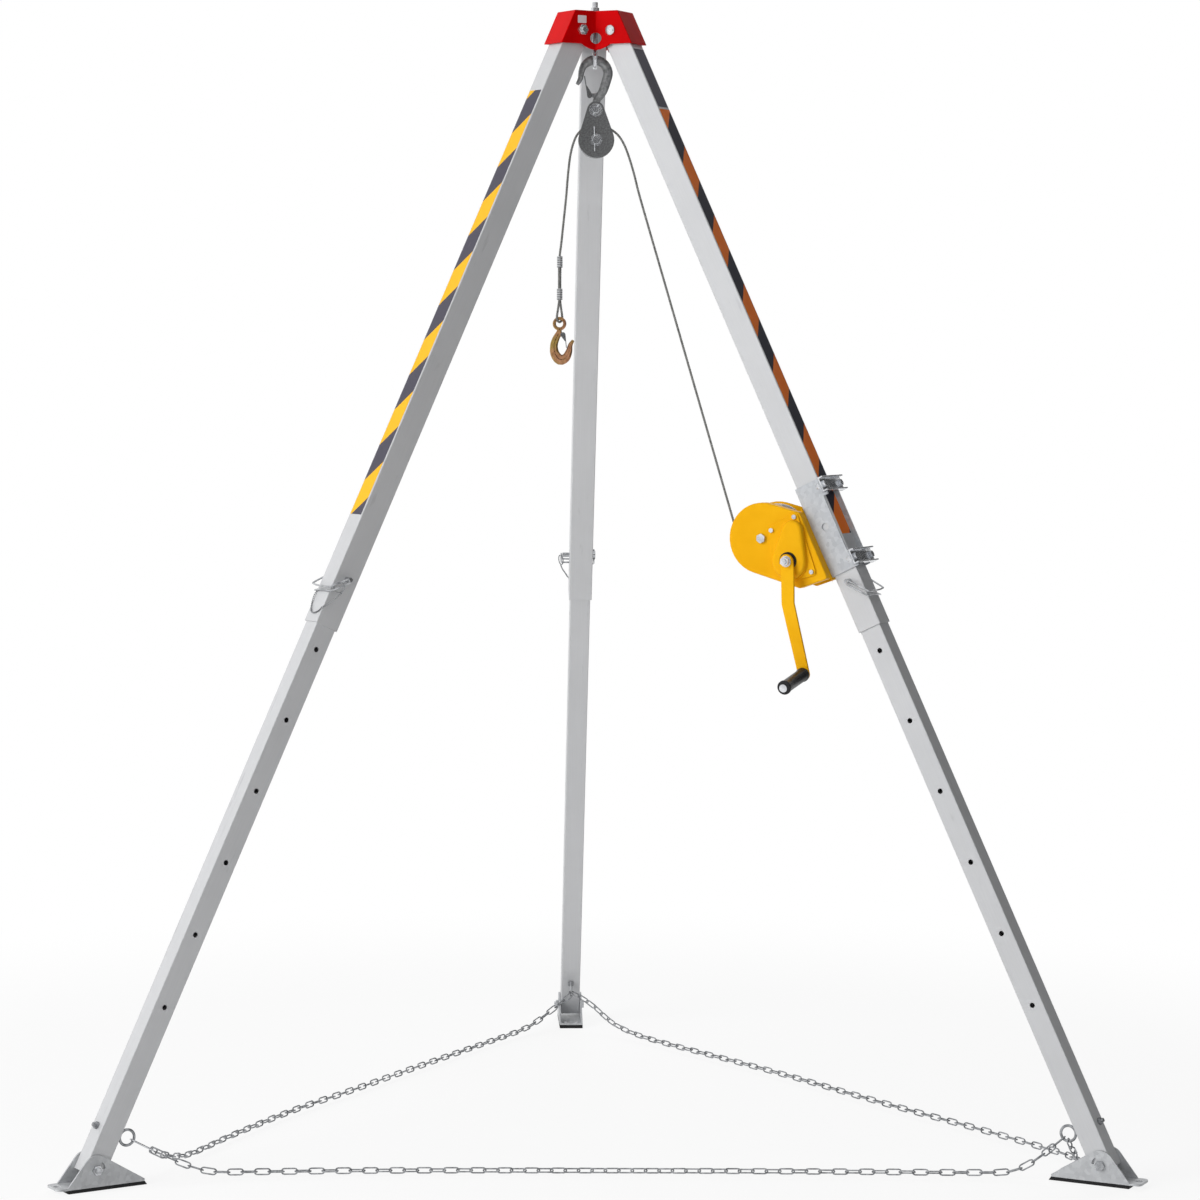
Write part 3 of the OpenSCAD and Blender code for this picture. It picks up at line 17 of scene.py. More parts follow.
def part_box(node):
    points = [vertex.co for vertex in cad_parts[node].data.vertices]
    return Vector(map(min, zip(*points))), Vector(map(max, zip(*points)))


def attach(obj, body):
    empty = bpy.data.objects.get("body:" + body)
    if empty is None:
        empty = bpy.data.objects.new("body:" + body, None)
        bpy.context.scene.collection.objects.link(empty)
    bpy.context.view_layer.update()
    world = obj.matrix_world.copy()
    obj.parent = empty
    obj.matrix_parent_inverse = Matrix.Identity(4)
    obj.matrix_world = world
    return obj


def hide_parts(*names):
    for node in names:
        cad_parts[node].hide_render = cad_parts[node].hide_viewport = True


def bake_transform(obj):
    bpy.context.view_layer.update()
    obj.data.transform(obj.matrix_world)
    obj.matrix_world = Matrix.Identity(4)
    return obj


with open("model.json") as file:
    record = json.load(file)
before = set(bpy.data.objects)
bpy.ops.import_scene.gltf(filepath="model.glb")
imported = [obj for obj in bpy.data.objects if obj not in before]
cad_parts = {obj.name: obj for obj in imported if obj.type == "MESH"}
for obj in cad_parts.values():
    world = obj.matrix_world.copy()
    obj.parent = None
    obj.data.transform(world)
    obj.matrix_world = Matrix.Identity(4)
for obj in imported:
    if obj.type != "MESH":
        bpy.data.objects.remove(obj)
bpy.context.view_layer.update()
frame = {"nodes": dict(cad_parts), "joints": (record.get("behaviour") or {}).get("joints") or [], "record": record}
record = frame["record"]
joint = {j["name"]: j for j in frame["joints"]}
body_of_node = {node: body for body, nodes in record["behaviour"]["bodies"].items() for node in nodes}
slot_of_node = {part["node"]: part["material_slot"] for part in record["subparts"]}
MM = 0.001

# %% [markdown]
# ## Camera
# The photograph was taken from far off with a long lens, a little above the winch and a little to the left.
# The camera is aimed by three angles, as on a tripod head, so that each can be corrected on its own.

# %% Camera
scene = bpy.context.scene
camera = bpy.data.objects.new("photo_camera", bpy.data.cameras.new("photo_camera"))
camera.data.lens = 105.0
camera.data.sensor_width = 36.0
camera.data.clip_end = 80.0
camera_place = Vector((-0.3006, -7.3588, 1.5581))
camera_yaw = -0.0448
camera_pitch = -0.0686
camera_roll = 0.0056
camera.matrix_world = (Matrix.Translation(camera_place) @ Matrix.Rotation(camera_yaw, 4, "Z")
                       @ Matrix.Rotation(math.pi / 2 + camera_pitch, 4, "X")
                       @ Matrix.Rotation(camera_roll, 4, "Z"))
scene.collection.objects.link(camera)
scene.camera = camera
print("camera", round(camera.location.y, 3), "m in front")

# %% [markdown]
# ## Places on the tripod
# A leg is easiest to work on along its own length. Its fold joint gives the pivot and the sideways direction,
# and its slide joint the direction up the leg, so each leg's frame comes from the model and not from a guess.

# %% Frames of the legs, the winch and the block
LEGS = ("left", "right", "back")


def columns(x, y, z, place):
    """A frame with these three directions as its axes."""
    turn = Matrix((x, y, z)).transposed()
    return Matrix.Translation(place) @ turn.to_4x4()


def leg_frame(leg):
    """X outward from the leg, Y along its pivot bolt, Z up the leg, from the pivot."""
    side = Vector(joint[leg + "_fold"]["axis"])
    up = Vector(joint[leg + "_slide"]["axis"])
    return columns(side.cross(up), side, up, Vector(joint[leg + "_fold"]["pos_m"]))


on_leg = {leg: leg_frame(leg) for leg in LEGS}
right_out, right_side, right_up = (on_leg["right"].to_3x3().col[k].copy() for k in range(3))
on_winch = columns(-right_out, -right_up, -right_side, on_leg["right"].translation)
on_drum = columns(-right_out, -right_up, -right_side, Vector(joint["drum_turn"]["pos_m"]))
BLOCK_TILT = math.radians(-1.6)
axle = Vector(joint["sheave_turn"]["pos_m"])
print("sheave axle at", [round(c, 3) for c in axle])

# %% [markdown]
# ## Curves through points
# Ropes, bails and hooks all follow a few chosen points. A Catmull-Rom run passes through every point, and the
# run is then cut into equal steps, so that a twist along it stays even.


# %% Smooth runs
def smooth_run(points, steps):
    """A smooth run through points of any size, with this many steps between two of them."""
    rows = [np.array(p, float) for p in points]
    last = len(rows) - 1
    run = []
    for i in range(last):
        a, b, c, d = rows[max(i - 1, 0)], rows[i], rows[i + 1], rows[min(i + 2, last)]
        for k in range(steps):
            t = k / steps
            run.append(0.5 * (2 * b + (c - a) * t + (2 * a - 5 * b + 4 * c - d) * t ** 2
                              + (3 * b - a - 3 * c + d) * t ** 3))
    return np.array(run + [rows[last]])


def run_lengths(run):
    """How far along the run each of its points lies."""
    return np.concatenate(([0.0], np.cumsum(np.linalg.norm(np.diff(run, axis=0), axis=1))))


def even_run(run, spacing):
    """The same run with its points this far apart."""
    along = run_lengths(run)
    marks = np.linspace(0, along[-1], max(2, round(along[-1] / spacing) + 1))
    return np.stack([np.interp(marks, along, run[:, k]) for k in range(run.shape[1])], axis=1)


def placed(matrix, points):
    """Points in millimetres of a frame, in metres of the model."""
    return [matrix @ (Vector(p) * MM) for p in points]


# %% [markdown]
# ## Shader sums
# A finish is a sum of small patterns: grain, scuffs, stripes. Written as Python sums they stay readable, so a
# wire of the shader gets operators of its own, and every node comes from one method.


# %% Wires and finishes
NOISE_ROUGHNESS = 0.55


class Wire:
    """An output of a shader node that can be used in a sum."""

    def __init__(self, finish, socket):
        self.finish = finish
        self.socket = socket

    def sum_of(self, operation, *terms):
        return self.finish.add("ShaderNodeMath", {"operation": operation}, dict(enumerate(terms)))

    def __add__(self, other):
        return self.sum_of("ADD", self, other)

    def __radd__(self, other):
        return self.sum_of("ADD", other, self)

    def __sub__(self, other):
        return self.sum_of("SUBTRACT", self, other)

    def __rsub__(self, other):
        return self.sum_of("SUBTRACT", other, self)

    def __mul__(self, other):
        return self.sum_of("MULTIPLY", self, other)

    def __truediv__(self, other):
        return self.sum_of("DIVIDE", self, other)

    def above(self, edge):
        return self.sum_of("GREATER_THAN", self, edge)

    def within(self, period):
        return self.sum_of("FLOORED_MODULO", self, period)

    def eased(self, low, high):
        """0 below low and 1 above high, smooth between them."""
        return self.finish.add("ShaderNodeMapRange", {"interpolation_type": "SMOOTHSTEP"},
                               {"Value": self, "From Min": low, "From Max": high})


class Nodes:
    """A node tree whose nodes all come from one method."""

    def __init__(self, tree):
        self.tree = tree

    def feed_all(self, node, sockets):
        for key, value in sockets.items():
            if isinstance(value, Wire):
                self.tree.links.new(value.socket, node.inputs[key])
            else:
                node.inputs[key].default_value = value

    def add(self, kind, settings=None, sockets=None, output=0):
        node = self.tree.nodes.new(kind)
        for key, value in (settings or {}).items():
            setattr(node, key, value)
        self.feed_all(node, sockets or {})
        return Wire(self, node.outputs[output])

    def background_seen(self):
        """1 for the rays that should see the white background, and 0 for those that carry light."""
        direct = self.add("ShaderNodeLightPath", output="Is Camera Ray")
        mirrored = self.add("ShaderNodeLightPath", output="Is Glossy Ray")
        through = self.add("ShaderNodeLightPath", output="Is Transmission Ray")
        return (direct + mirrored + through).above(0.5)


class Finish(Nodes):
    """A material with one main shader, whose patterns are read in the model's own coordinates."""

    def __init__(self, name, **fixed):
        self.material = bpy.data.materials.new(name)
        self.material.use_nodes = True
        super().__init__(self.material.node_tree)
        self.shader = self.tree.nodes["Principled BSDF"]
        self.wear(**fixed)

    def wear(self, **sockets):
        """Sets or links the shader's own sockets."""
        self.feed_all(self.shader, {key.replace("_", " "): value for key, value in sockets.items()})

    def place(self, turned=None):
        """Object coordinates, or those of a frame that lies in the object."""
        spot = self.add("ShaderNodeTexCoord", output="Object")
        if turned is None:
            return spot
        return self.add("ShaderNodeMapping", {"vector_type": "TEXTURE"},
                        {"Vector": spot, "Location": turned.translation, "Rotation": turned.to_euler()})

    def stretched(self, spot, sizes):
        return self.add("ShaderNodeVectorMath", {"operation": "MULTIPLY"}, {0: spot, 1: sizes})

    def part(self, spot, axis):
        return self.add("ShaderNodeSeparateXYZ", sockets={0: spot}, output=axis)

    def noise(self, spot, scale, detail=3.0):
        return self.add("ShaderNodeTexNoise", sockets={"Vector": spot, "Scale": scale, "Detail": detail,
                                                       "Roughness": NOISE_ROUGHNESS})

    def cells(self, spot, scale):
        return self.add("ShaderNodeTexVoronoi", sockets={"Vector": spot, "Scale": scale}, output="Color")

    def blend(self, share, first, second):
        return self.add("ShaderNodeMix", {"data_type": "RGBA"}, {0: share, 6: first, 7: second}, output=2)

    def bump(self, height, depth, strength):
        return self.add("ShaderNodeBump", sockets={"Height": height, "Distance": depth, "Strength": strength})


def tint(red, green, blue):
    """A colour as a paint chart gives it, from 0 to 255, as the shader reads it."""
    return tuple(c / 12.92 if c <= 0.04045 else ((c + 0.055) / 1.055) ** 2.4
                 for c in (red / 255, green / 255, blue / 255)) + (1.0,)


# %% [markdown]
# ## Metal finishes
# The legs are drawn aluminium: fine lines run along each tube, so the grain is stretched up that leg.
# Zinc has a cloudy bloom, galvanized sheet has larger crystals, and forged hooks are rougher.


# %% Metal
JAW_PITCH = 0.0046


def leg_alloy(leg):
    made = Finish("alloy_" + leg, Metallic=0.3)
    spot = made.place(on_leg[leg])
    lines = made.noise(made.stretched(spot, (1.0, 1.0, 0.012)), 600.0, 3.0)
    cloud = made.noise(spot, 6.0)
    scuffs = made.noise(made.stretched(spot, (1.0, 1.0, 0.2)), 70.0, 6.0).eased(0.62, 0.78)
    tone = lines * 0.5 + cloud * 0.5
    clean = made.blend(tone, tint(196, 197, 199), tint(218, 219, 221))
    made.wear(Base_Color=made.blend(scuffs * 0.35, clean, tint(168, 169, 171)),
              Roughness=0.42 + lines * 0.16 + scuffs * 0.1,
              Normal=made.bump(lines, 0.00002, 0.3))
    return made.material


def plated(name, low, high, grain, rough, metal=0.9):
    """Plated or bare steel: two tones that drift into each other, with a fine grain."""
    made = Finish(name, Metallic=metal)
    spot = made.place()
    cloud = made.noise(spot, grain, 4.0)
    fine = made.noise(spot, grain * 14, 2.0)
    made.wear(Base_Color=made.blend(cloud.eased(0.3, 0.7), low, high),
              Roughness=rough + fine * 0.18,
              Normal=made.bump(fine, 0.00006, 0.5))
    return made.material


def crimped_sleeve(name):
    """A pressed sleeve: rings of the press jaws run round it."""
    made = Finish(name, Metallic=0.8)
    spot = made.place()
    jaw = (made.part(spot, 2) / JAW_PITCH).within(1.0)
    ridge_and_groove_shade = jaw.eased(0.0, 0.35) - jaw.eased(0.6, 0.95)
    # The colour is painted shade in each groove and a painted highlight on each ridge top.
    made.wear(Base_Color=made.blend(ridge_and_groove_shade, tint(118, 119, 121), tint(206, 208, 210)),
              Roughness=0.42 - ridge_and_groove_shade * 0.1,
              Normal=made.bump(ridge_and_groove_shade, 0.0006, 0.8))
    return made.material


def galvanized(name, low, high):
    """Hot dipped sheet: flat crystals of zinc, each a little lighter or darker than the next."""
    made = Finish(name, Metallic=0.2)
    spot = made.place()
    crystals = made.add("ShaderNodeRGBToBW", sockets={0: made.cells(spot, 130.0)})
    streaks = made.noise(spot, 35.0, 5.0)
    tone = crystals * 0.6 + streaks * 0.4
    made.wear(Base_Color=made.blend(tone, low, high),
              Roughness=0.38 + tone * 0.2,
              Normal=made.bump(crystals, 0.00005, 0.4))
    return made.material


def passivated(name):
    """Yellow passivated zinc, which shimmers between rose and olive."""
    made = Finish(name, Metallic=0.85)
    spot = made.place()
    film = made.noise(spot, 28.0, 2.0).eased(0.35, 0.65)
    cloud = made.noise(spot, 110.0, 4.0).eased(0.3, 0.75)
    fine = made.noise(spot, 1500.0, 2.0)
    hue = made.blend(film, tint(184, 134, 102), tint(172, 146, 80))
    made.wear(Base_Color=made.blend(cloud * 0.6, hue, tint(116, 80, 50)),
              Roughness=0.15 + fine * 0.12,
              Normal=made.bump(fine, 0.00002, 0.5))
    return made.material


alloy = {leg: leg_alloy(leg) for leg in LEGS}
zinc = plated("bright_zinc", tint(196, 198, 202), tint(232, 234, 237), grain=60.0, rough=0.16)
wire_zinc = plated("bail_wire_zinc", tint(150, 152, 155), tint(206, 208, 211), grain=60.0, rough=0.14)
chain_zinc = plated("chain_zinc", tint(118, 120, 123), tint(176, 178, 181), grain=90.0, rough=0.2)
rope_wire = plated("rope_wire", tint(128, 128, 126), tint(168, 168, 165),
                   grain=240.0, rough=0.36, metal=0.8)
sheet_zinc = galvanized("galvanized_bracket", tint(168, 172, 177), tint(212, 215, 219))
foot_zinc = galvanized("galvanized_foot", tint(174, 176, 179), tint(214, 216, 218))
block_coat = plated("block_coat", tint(92, 93, 94), tint(122, 123, 124),
                    grain=320.0, rough=0.42, metal=0.45)
forged_grey = plated("forged_grey", tint(118, 119, 120), tint(158, 159, 160),
                     grain=150.0, rough=0.36, metal=0.7)
crimped = crimped_sleeve("crimped_sleeve")
gold_zinc = passivated("gold_passivated_zinc")
print("metal finishes made")

# %% [markdown]
# ## Paint, rubber and plastic
# Powder coat lies slightly uneven, which bends its reflections. Rubber is dull with a fine pebble, and the
# crank's grip is a smooth moulded plastic.


# %% Paint and plastic
def powder_coat(name, deep, fresh, rough):
    made = Finish(name, Coat_Roughness=0.3, Specular_IOR_Level=0.05)
    spot = made.place()
    peel = made.noise(spot, 420.0, 2.0)
    drift = made.noise(spot, 9.0, 3.0)
    dust = made.noise(spot, 900.0, 2.0).eased(0.6, 0.75)
    made.wear(Base_Color=made.blend(drift.eased(0.3, 0.7), deep, fresh),
              Roughness=rough + dust * 0.12,
              Coat_Weight=0.04 - dust * 0.03,
              Normal=made.bump(peel, 0.00012, 0.35))
    return made.material


def moulded(name, low, high, grain, rough, depth):
    made = Finish(name, Specular_IOR_Level=0.3)
    spot = made.place()
    pebble = made.noise(spot, grain, 3.0)
    drift = made.noise(spot, 25.0)
    made.wear(Base_Color=made.blend(drift, low, high),
              Roughness=rough + pebble * 0.15,
              Normal=made.bump(pebble, depth, 0.6))
    return made.material


red_paint = powder_coat("red_powder_coat", tint(192, 0, 4), tint(216, 1, 6), rough=0.36)
yellow_paint = powder_coat("yellow_powder_coat", tint(238, 172, 12), tint(248, 186, 24), rough=0.34)
rubber = moulded("pad_rubber", tint(24, 24, 25), tint(38, 38, 39),
                 grain=900.0, rough=0.66, depth=0.00015)
grip_plastic = moulded("grip_plastic", tint(22, 22, 24), tint(34, 34, 36),
                       grain=500.0, rough=0.3, depth=0.00004)
washer_plastic = moulded("washer_plastic", tint(222, 222, 220), tint(238, 238, 236),
                         grain=400.0, rough=0.45, depth=0.00003)
print("paint and plastic finishes made")

# %% [markdown]
# ## Floor and light
# The photograph has a white ground and soft light from the left, so the faces that look left are the bright
# ones. A broad lamp on that side does it, with weaker ones in front and behind, and dark cloth flags give
# the metal something to reflect. The floor fades to white away from the tripod, and keeps the shadow near it.

# %% Floor
FLOOR_SIZE = 30.0
FLOOR_DROP = 0.0005
FLOOR_WHITE = 0.86
FLOOR_FADE = (1.2, 2.6)


def stage_sheet(name, size, place, finish):
    """A square sheet that belongs to the studio and not to the tripod."""
    bm = bmesh.new()
    bmesh.ops.create_grid(bm, x_segments=1, y_segments=1, size=size)
    mesh = bpy.data.meshes.new(name)
    bm.to_mesh(mesh)
    bm.free()
    mesh.materials.append(finish)
    sheet = bpy.data.objects.new(name, mesh)
    sheet.matrix_world = place
    scene.collection.objects.link(sheet)
    return sheet


ground = Finish("pale_floor", Roughness=0.9, Base_Color=tint(246, 246, 246))
away = ground.add("ShaderNodeVectorMath", {"operation": "LENGTH"}, {0: ground.place()}, output="Value")
glow = ground.add("ShaderNodeEmission", sockets={"Color": (1, 1, 1, 1), "Strength": 1.0})
white_share = ground.background_seen() * (FLOOR_WHITE + away.eased(*FLOOR_FADE) * (1 - FLOOR_WHITE))
ground_mix = ground.add("ShaderNodeMixShader",
                        sockets={0: white_share, 1: Wire(ground, ground.shader.outputs[0]), 2: glow})
ground.feed_all(ground.tree.nodes["Material Output"], {"Surface": ground_mix})
stage_sheet("floor", FLOOR_SIZE, Matrix.Translation((0, 0, -FLOOR_DROP)), ground.material)

# %% Light
world = bpy.data.worlds.new("studio")
world.use_nodes = True
scene.world = world
studio = Nodes(world.node_tree)
SKY_LIGHT = 0.2
FLAG_SIZE = 2.4
sky_seen = studio.background_seen()
studio.feed_all(studio.tree.nodes["Background"], {"Color": (1, 1, 1, 1),
                                                  "Strength": SKY_LIGHT + sky_seen * (1 - SKY_LIGHT)})

flag_cloth = Finish("flag_cloth", Roughness=0.95, Base_Color=tint(64, 64, 64))
flag_places = (Matrix.Translation((4.6, -2.5, 1.5)) @ Matrix.Rotation(math.radians(75), 4, "Y"),
               Matrix.Translation((4.4, 2.4, 2.6)) @ Matrix.Rotation(math.radians(75), 4, "Y"),
               Matrix.Translation((0.3, -10.5, 2.0)) @ Matrix.Rotation(math.radians(80), 4, "X"))
for flag_place in flag_places:
    flag = stage_sheet("dark_flag", FLAG_SIZE, flag_place, flag_cloth.material)
    flag.visible_camera = False
    flag.visible_shadow = False


def lamp(name, place, target, size, power):
    """A square soft box that looks at the target, and that flat metal doesn't mirror."""
    light = bpy.data.lights.new(name, "AREA")
    light.size = size
    light.energy = power
    box = bpy.data.objects.new(name, light)
    box.location = place
    box.rotation_euler = (Vector(target) - Vector(place)).to_track_quat("-Z", "Y").to_euler()
    box.visible_glossy = False
    scene.collection.objects.link(box)


middle = (0.0, -0.2, 1.1)
lamp("soft_box_left", (-6.0, -3.6, 3.4), middle, size=5.0, power=410.0)
lamp("soft_box_front", (0.8, -8.0, 3.6), middle, size=3.0, power=70.0)
lamp("soft_box_back", (1.5, 5.0, 4.5), middle, size=4.0, power=190.0)
scene.view_settings.view_transform = "Standard"
print("floor, world, flags and three soft boxes set")

# %% [markdown]
# ## Making pieces
# A piece is finished the same way each time: its mesh goes into an object at the origin, faces that meet at a
# shallow angle are shaded smooth, and the piece rides on the body that carries it.


# %% Pieces
def piece_of(name, mesh, finish, sharp=38.0):
    mesh.name = name
    mesh.shade_smooth()
    mesh.set_sharp_from_angle(angle=math.radians(sharp))
    mesh.materials.clear()
    mesh.materials.append(finish)
    made = bpy.data.objects.new(name, mesh)
    scene.collection.objects.link(made)
    return made


def mesh_of(bm):
    mesh = bpy.data.meshes.new("made")
    bm.to_mesh(mesh)
    bm.free()
    return mesh


def carried(piece, body, slot, *nodes):
    """Rides a piece on its body, and lets it stand for CAD nodes."""
    if body:
        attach(piece, body)
    if nodes:
        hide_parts(*nodes)
    return piece


def curve_mesh(points, radius=0.0, roundness=4, profile=None, tilts=None):
    """A wire along points: Blender sweeps a circle, or the outline of another curve, along them."""
    line = bpy.data.curves.new("line", "CURVE")
    line.dimensions = "3D"
    spline = line.splines.new("POLY")
    spline.points.add(len(points) - 1)
    for k, point in enumerate(points):
        spline.points[k].co = (*point, 1.0)
        spline.points[k].tilt = 0.0 if tilts is None else tilts[k]
    spline.use_smooth = True
    line.use_fill_caps = True
    if profile is None:
        line.bevel_depth = radius
        line.bevel_resolution = roundness
    else:
        line.bevel_mode = "OBJECT"
        line.bevel_object = profile
    thing = bpy.data.objects.new("line", line)
    scene.collection.objects.link(thing)
    graph = bpy.context.evaluated_depsgraph_get()
    mesh = bpy.data.meshes.new_from_object(thing.evaluated_get(graph))
    bpy.data.objects.remove(thing)
    bpy.data.curves.remove(line)
    return mesh


# %% [markdown]
# ## Wire rope
# The hoist rope is a 5 mm steel rope of six strands. A round tube with a rope pattern painted on would look
# smooth at its edge, so an outline with six lobes is swept along the rope and turned once per lay length.

# %% Rope section
ROPE_D = 0.005
ROPE_LAY = 0.030
STRANDS = 6
LOBE = ((-30.0, 0.66), (-17.0, 0.92), (0.0, 1.0), (17.0, 0.92))


def strand_outline(name, diameter):
    outline = bpy.data.curves.new(name, "CURVE")
    outline.dimensions = "2D"
    spline = outline.splines.new("POLY")
    spots = [(360.0 / STRANDS * s + turn, share) for s in range(STRANDS) for turn, share in LOBE]
    spline.points.add(len(spots) - 1)
    for spot, (turn, share) in zip(spline.points, spots):
        angle = math.radians(turn)
        spot.co = (diameter / 2 * share * math.cos(angle), diameter / 2 * share * math.sin(angle), 0, 1)
    spline.use_cyclic_u = True
    made = bpy.data.objects.new(name, outline)
    scene.collection.objects.link(made)
    return made


def rope(name, run, spacing=0.0035):
    """A stranded rope along a run, and the points of its middle line."""
    line = even_run(run, spacing)
    along = run_lengths(line)
    outline = strand_outline("strands", ROPE_D)
    mesh = curve_mesh([tuple(p) for p in line], profile=outline,
                      tilts=[2 * math.pi * s / ROPE_LAY for s in along])
    bpy.data.objects.remove(outline)
    print(name, round(along[-1], 3), "m,", len(mesh.polygons), "faces")
    return piece_of(name, mesh, rope_wire, 60.0), line


# %% [markdown]
# ## Hoist rope, fall and winding
# The rope climbs from the drum to the sheave, crosses over it and hangs down to the load hook, where it is
# doubled back through two ferrules. The points are those of the CAD solids. The climbing part is two pieces:
# the first seventh at the block, and the rest down to the drum.

# %% Rope routes
SHEAVE_ROPE_R = 34.0
WIND_R = 60.0
WIND_PITCH = 5.6
WIND_TURNS = 9
WIND_START = -6.0
WIND_STEPS = 40
SHEAVE_ON = 55
SHEAVE_OFF = 125
RUN_STEPS = 6
STRAIGHT_STEPS = 4


def sheave_point(angle):
    turn = math.radians(angle)
    over = Vector((math.cos(turn), 0.0, math.sin(turn))) * SHEAVE_ROPE_R * MM
    return axle + Matrix.Rotation(BLOCK_TILT, 3, "Y") @ over


def from_axle(points):
    return [axle + Vector(p) * MM for p in points]


def wind_point(turn):
    angle = math.radians(WIND_START + 360 * turn)
    return (WIND_R * math.cos(angle), WIND_R * math.sin(angle), WIND_PITCH * (WIND_TURNS / 2 - turn))


def wind_step(turn):
    angle = math.radians(WIND_START + 360 * turn)
    way = Vector((-math.sin(angle), math.cos(angle), -WIND_PITCH / (2 * math.pi * WIND_R))).normalized()
    return way * ROPE_D / MM


wind_off = Vector(wind_point(0)) - wind_step(0)
wind_end = Vector(wind_point(WIND_TURNS)) + wind_step(WIND_TURNS)
drum_off = placed(on_drum, [wind_off])[0]
hoist_points = from_axle([(39, -4, 15), (52, -12, -2), (63, -19, -28), (75, -28, -68), (88, -39, -120)])
hoist_last = hoist_points[-1]
hoist_straight = [hoist_last + (drum_off - hoist_last) * k / STRAIGHT_STEPS
                  for k in range(1, STRAIGHT_STEPS + 1)]
hoist_smooth = smooth_run([sheave_point(SHEAVE_ON)] + hoist_points + hoist_straight, RUN_STEPS)
hoist_run = even_run(hoist_smooth, 0.01)

FALL_X = -72.0
FALL_DROP = 368.0
FERRULE_UP = (124.0, 59.0)
STRAND_OFF = 2.8
STRAND_TURN = 65.0
EYE_TURN = 55.0
EYE_SPREAD = 10.0
EYE_LOW = 3.0
NECK_DROP = 14.0
TAIL_SHORT = 4.0


def fall_place(across, up, turn):
    angle = math.radians(turn)
    return axle + Vector((FALL_X + across * math.cos(angle), across * math.sin(angle), up - FALL_DROP)) * MM


fall_points = [sheave_point(SHEAVE_OFF)]
fall_points += from_axle([(-31, 0, 19), (-42, 0, 4), (-51, 0, -26), (-56, 0, -65), (-60, 0, -115),
                          (-65, 0, -165), (-69, 0, -205)])
fall_points += [fall_place(-STRAND_OFF, up, STRAND_TURN) for up in FERRULE_UP]
neck_up = FERRULE_UP[1] - NECK_DROP
fall_points.append(fall_place(-STRAND_OFF, neck_up, STRAND_TURN))
for degrees in range(180, 361, 30):
    swing = math.radians(degrees)
    eye_up = EYE_LOW + EYE_SPREAD + EYE_SPREAD * math.sin(swing)
    fall_points.append(fall_place(EYE_SPREAD * math.cos(swing), eye_up, EYE_TURN))
fall_points += [fall_place(STRAND_OFF, neck_up, STRAND_TURN),
                fall_place(STRAND_OFF, FERRULE_UP[1], STRAND_TURN),
                fall_place(STRAND_OFF, FERRULE_UP[0] - TAIL_SHORT, STRAND_TURN)]
fall_run = smooth_run(fall_points, RUN_STEPS)

# %% Rope pieces
ROPE_SLOT = "wire_rope"
BLOCK_SHARE = 0.14
split = int(len(hoist_run) * BLOCK_SHARE)
block_rope, block_line = rope("hoist_rope_at_block", hoist_run[:split + 1])
climb_rope, climb_line = rope("hoist_rope_climbing", hoist_run[split:])
over_run = np.array([sheave_point(a) for a in range(SHEAVE_ON, SHEAVE_OFF + 1, 5)])
over_rope = rope("rope_over_sheave", over_run)[0]
hook_rope, hook_line = rope("fall_rope_strands", fall_run)
turns = [wind_point(k / WIND_STEPS) for k in range(WIND_STEPS * WIND_TURNS + 1)]
wound_run = np.array(placed(on_drum, [wind_off] + turns + [wind_end]))
wound_rope = rope("rope_on_drum", wound_run, spacing=0.006)[0]

carried(block_rope, None, ROPE_SLOT, "hoist_rope")
carried(climb_rope, None, ROPE_SLOT, "hoist_rope")
carried(over_rope, "block", ROPE_SLOT, "sheave_rope")
carried(hook_rope, None, ROPE_SLOT, "fall_rope")
carried(wound_rope, "drum", ROPE_SLOT, "drum_rope")
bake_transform(block_rope)
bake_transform(climb_rope)
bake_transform(hook_rope)


# %% [markdown]
# The winding hides the rope's inner layers. A plain core under the outer layer keeps the gaps between its
# turns from showing bare drum.

# %% Winding core
BARREL_R = 40.0
DRUM_HALF = 27.6
CORE_R = WIND_R - 2.8
CORE_BORE = BARREL_R + 0.1


def lathe(bm, outline, steps, frame_to):
    """Spins an outline of (radius, height) round the frame's Z axis."""
    spots = [bm.verts.new((r * MM, 0.0, z * MM)) for r, z in outline]
    edges = [bm.edges.new((a, b)) for a, b in zip(spots, spots[1:] + spots[:1])]
    bmesh.ops.spin(bm, geom=spots + edges, cent=(0, 0, 0), axis=(0, 0, 1), angle=2 * math.pi, steps=steps,
                   use_merge=True)
    bmesh.ops.remove_doubles(bm, verts=bm.verts, dist=1e-6)
    bmesh.ops.recalc_face_normals(bm, faces=bm.faces)
    bmesh.ops.transform(bm, matrix=frame_to, verts=bm.verts)


core_bm = bmesh.new()
core_outline = [(CORE_BORE, -DRUM_HALF), (CORE_R, -DRUM_HALF), (CORE_R, DRUM_HALF), (CORE_BORE, DRUM_HALF)]
lathe(core_bm, core_outline, steps=64, frame_to=on_drum)
core = piece_of("rope_core", mesh_of(core_bm), rope_wire)
carried(core, "drum", ROPE_SLOT, "drum_rope")

# %% [markdown]
# ## Rigid pieces
# Nothing that leaves a workshop has a perfectly sharp edge, and it is the thin light line along an edge that
# makes metal look real. Each rigid solid is copied and a Bevel modifier softens the copy. The winch's pressed
# cover is rounder, so its rim is found as the longest loop of edges at its height and bevelled first.

# %% Eased copies of the rigid solids
WELD = 2e-6
SHARP_TURN = 0.5
SAME_HEIGHT = 1e-5
FLAT_ANGLE = math.radians(0.4)
EDGE_ANGLE = math.radians(32)


def welded(node):
    """A CAD solid whose faces are joined where they meet."""
    bm = bmesh.new()
    bm.from_mesh(frame["nodes"][node].data)
    bmesh.ops.remove_doubles(bm, verts=bm.verts, dist=WELD)
    return bm


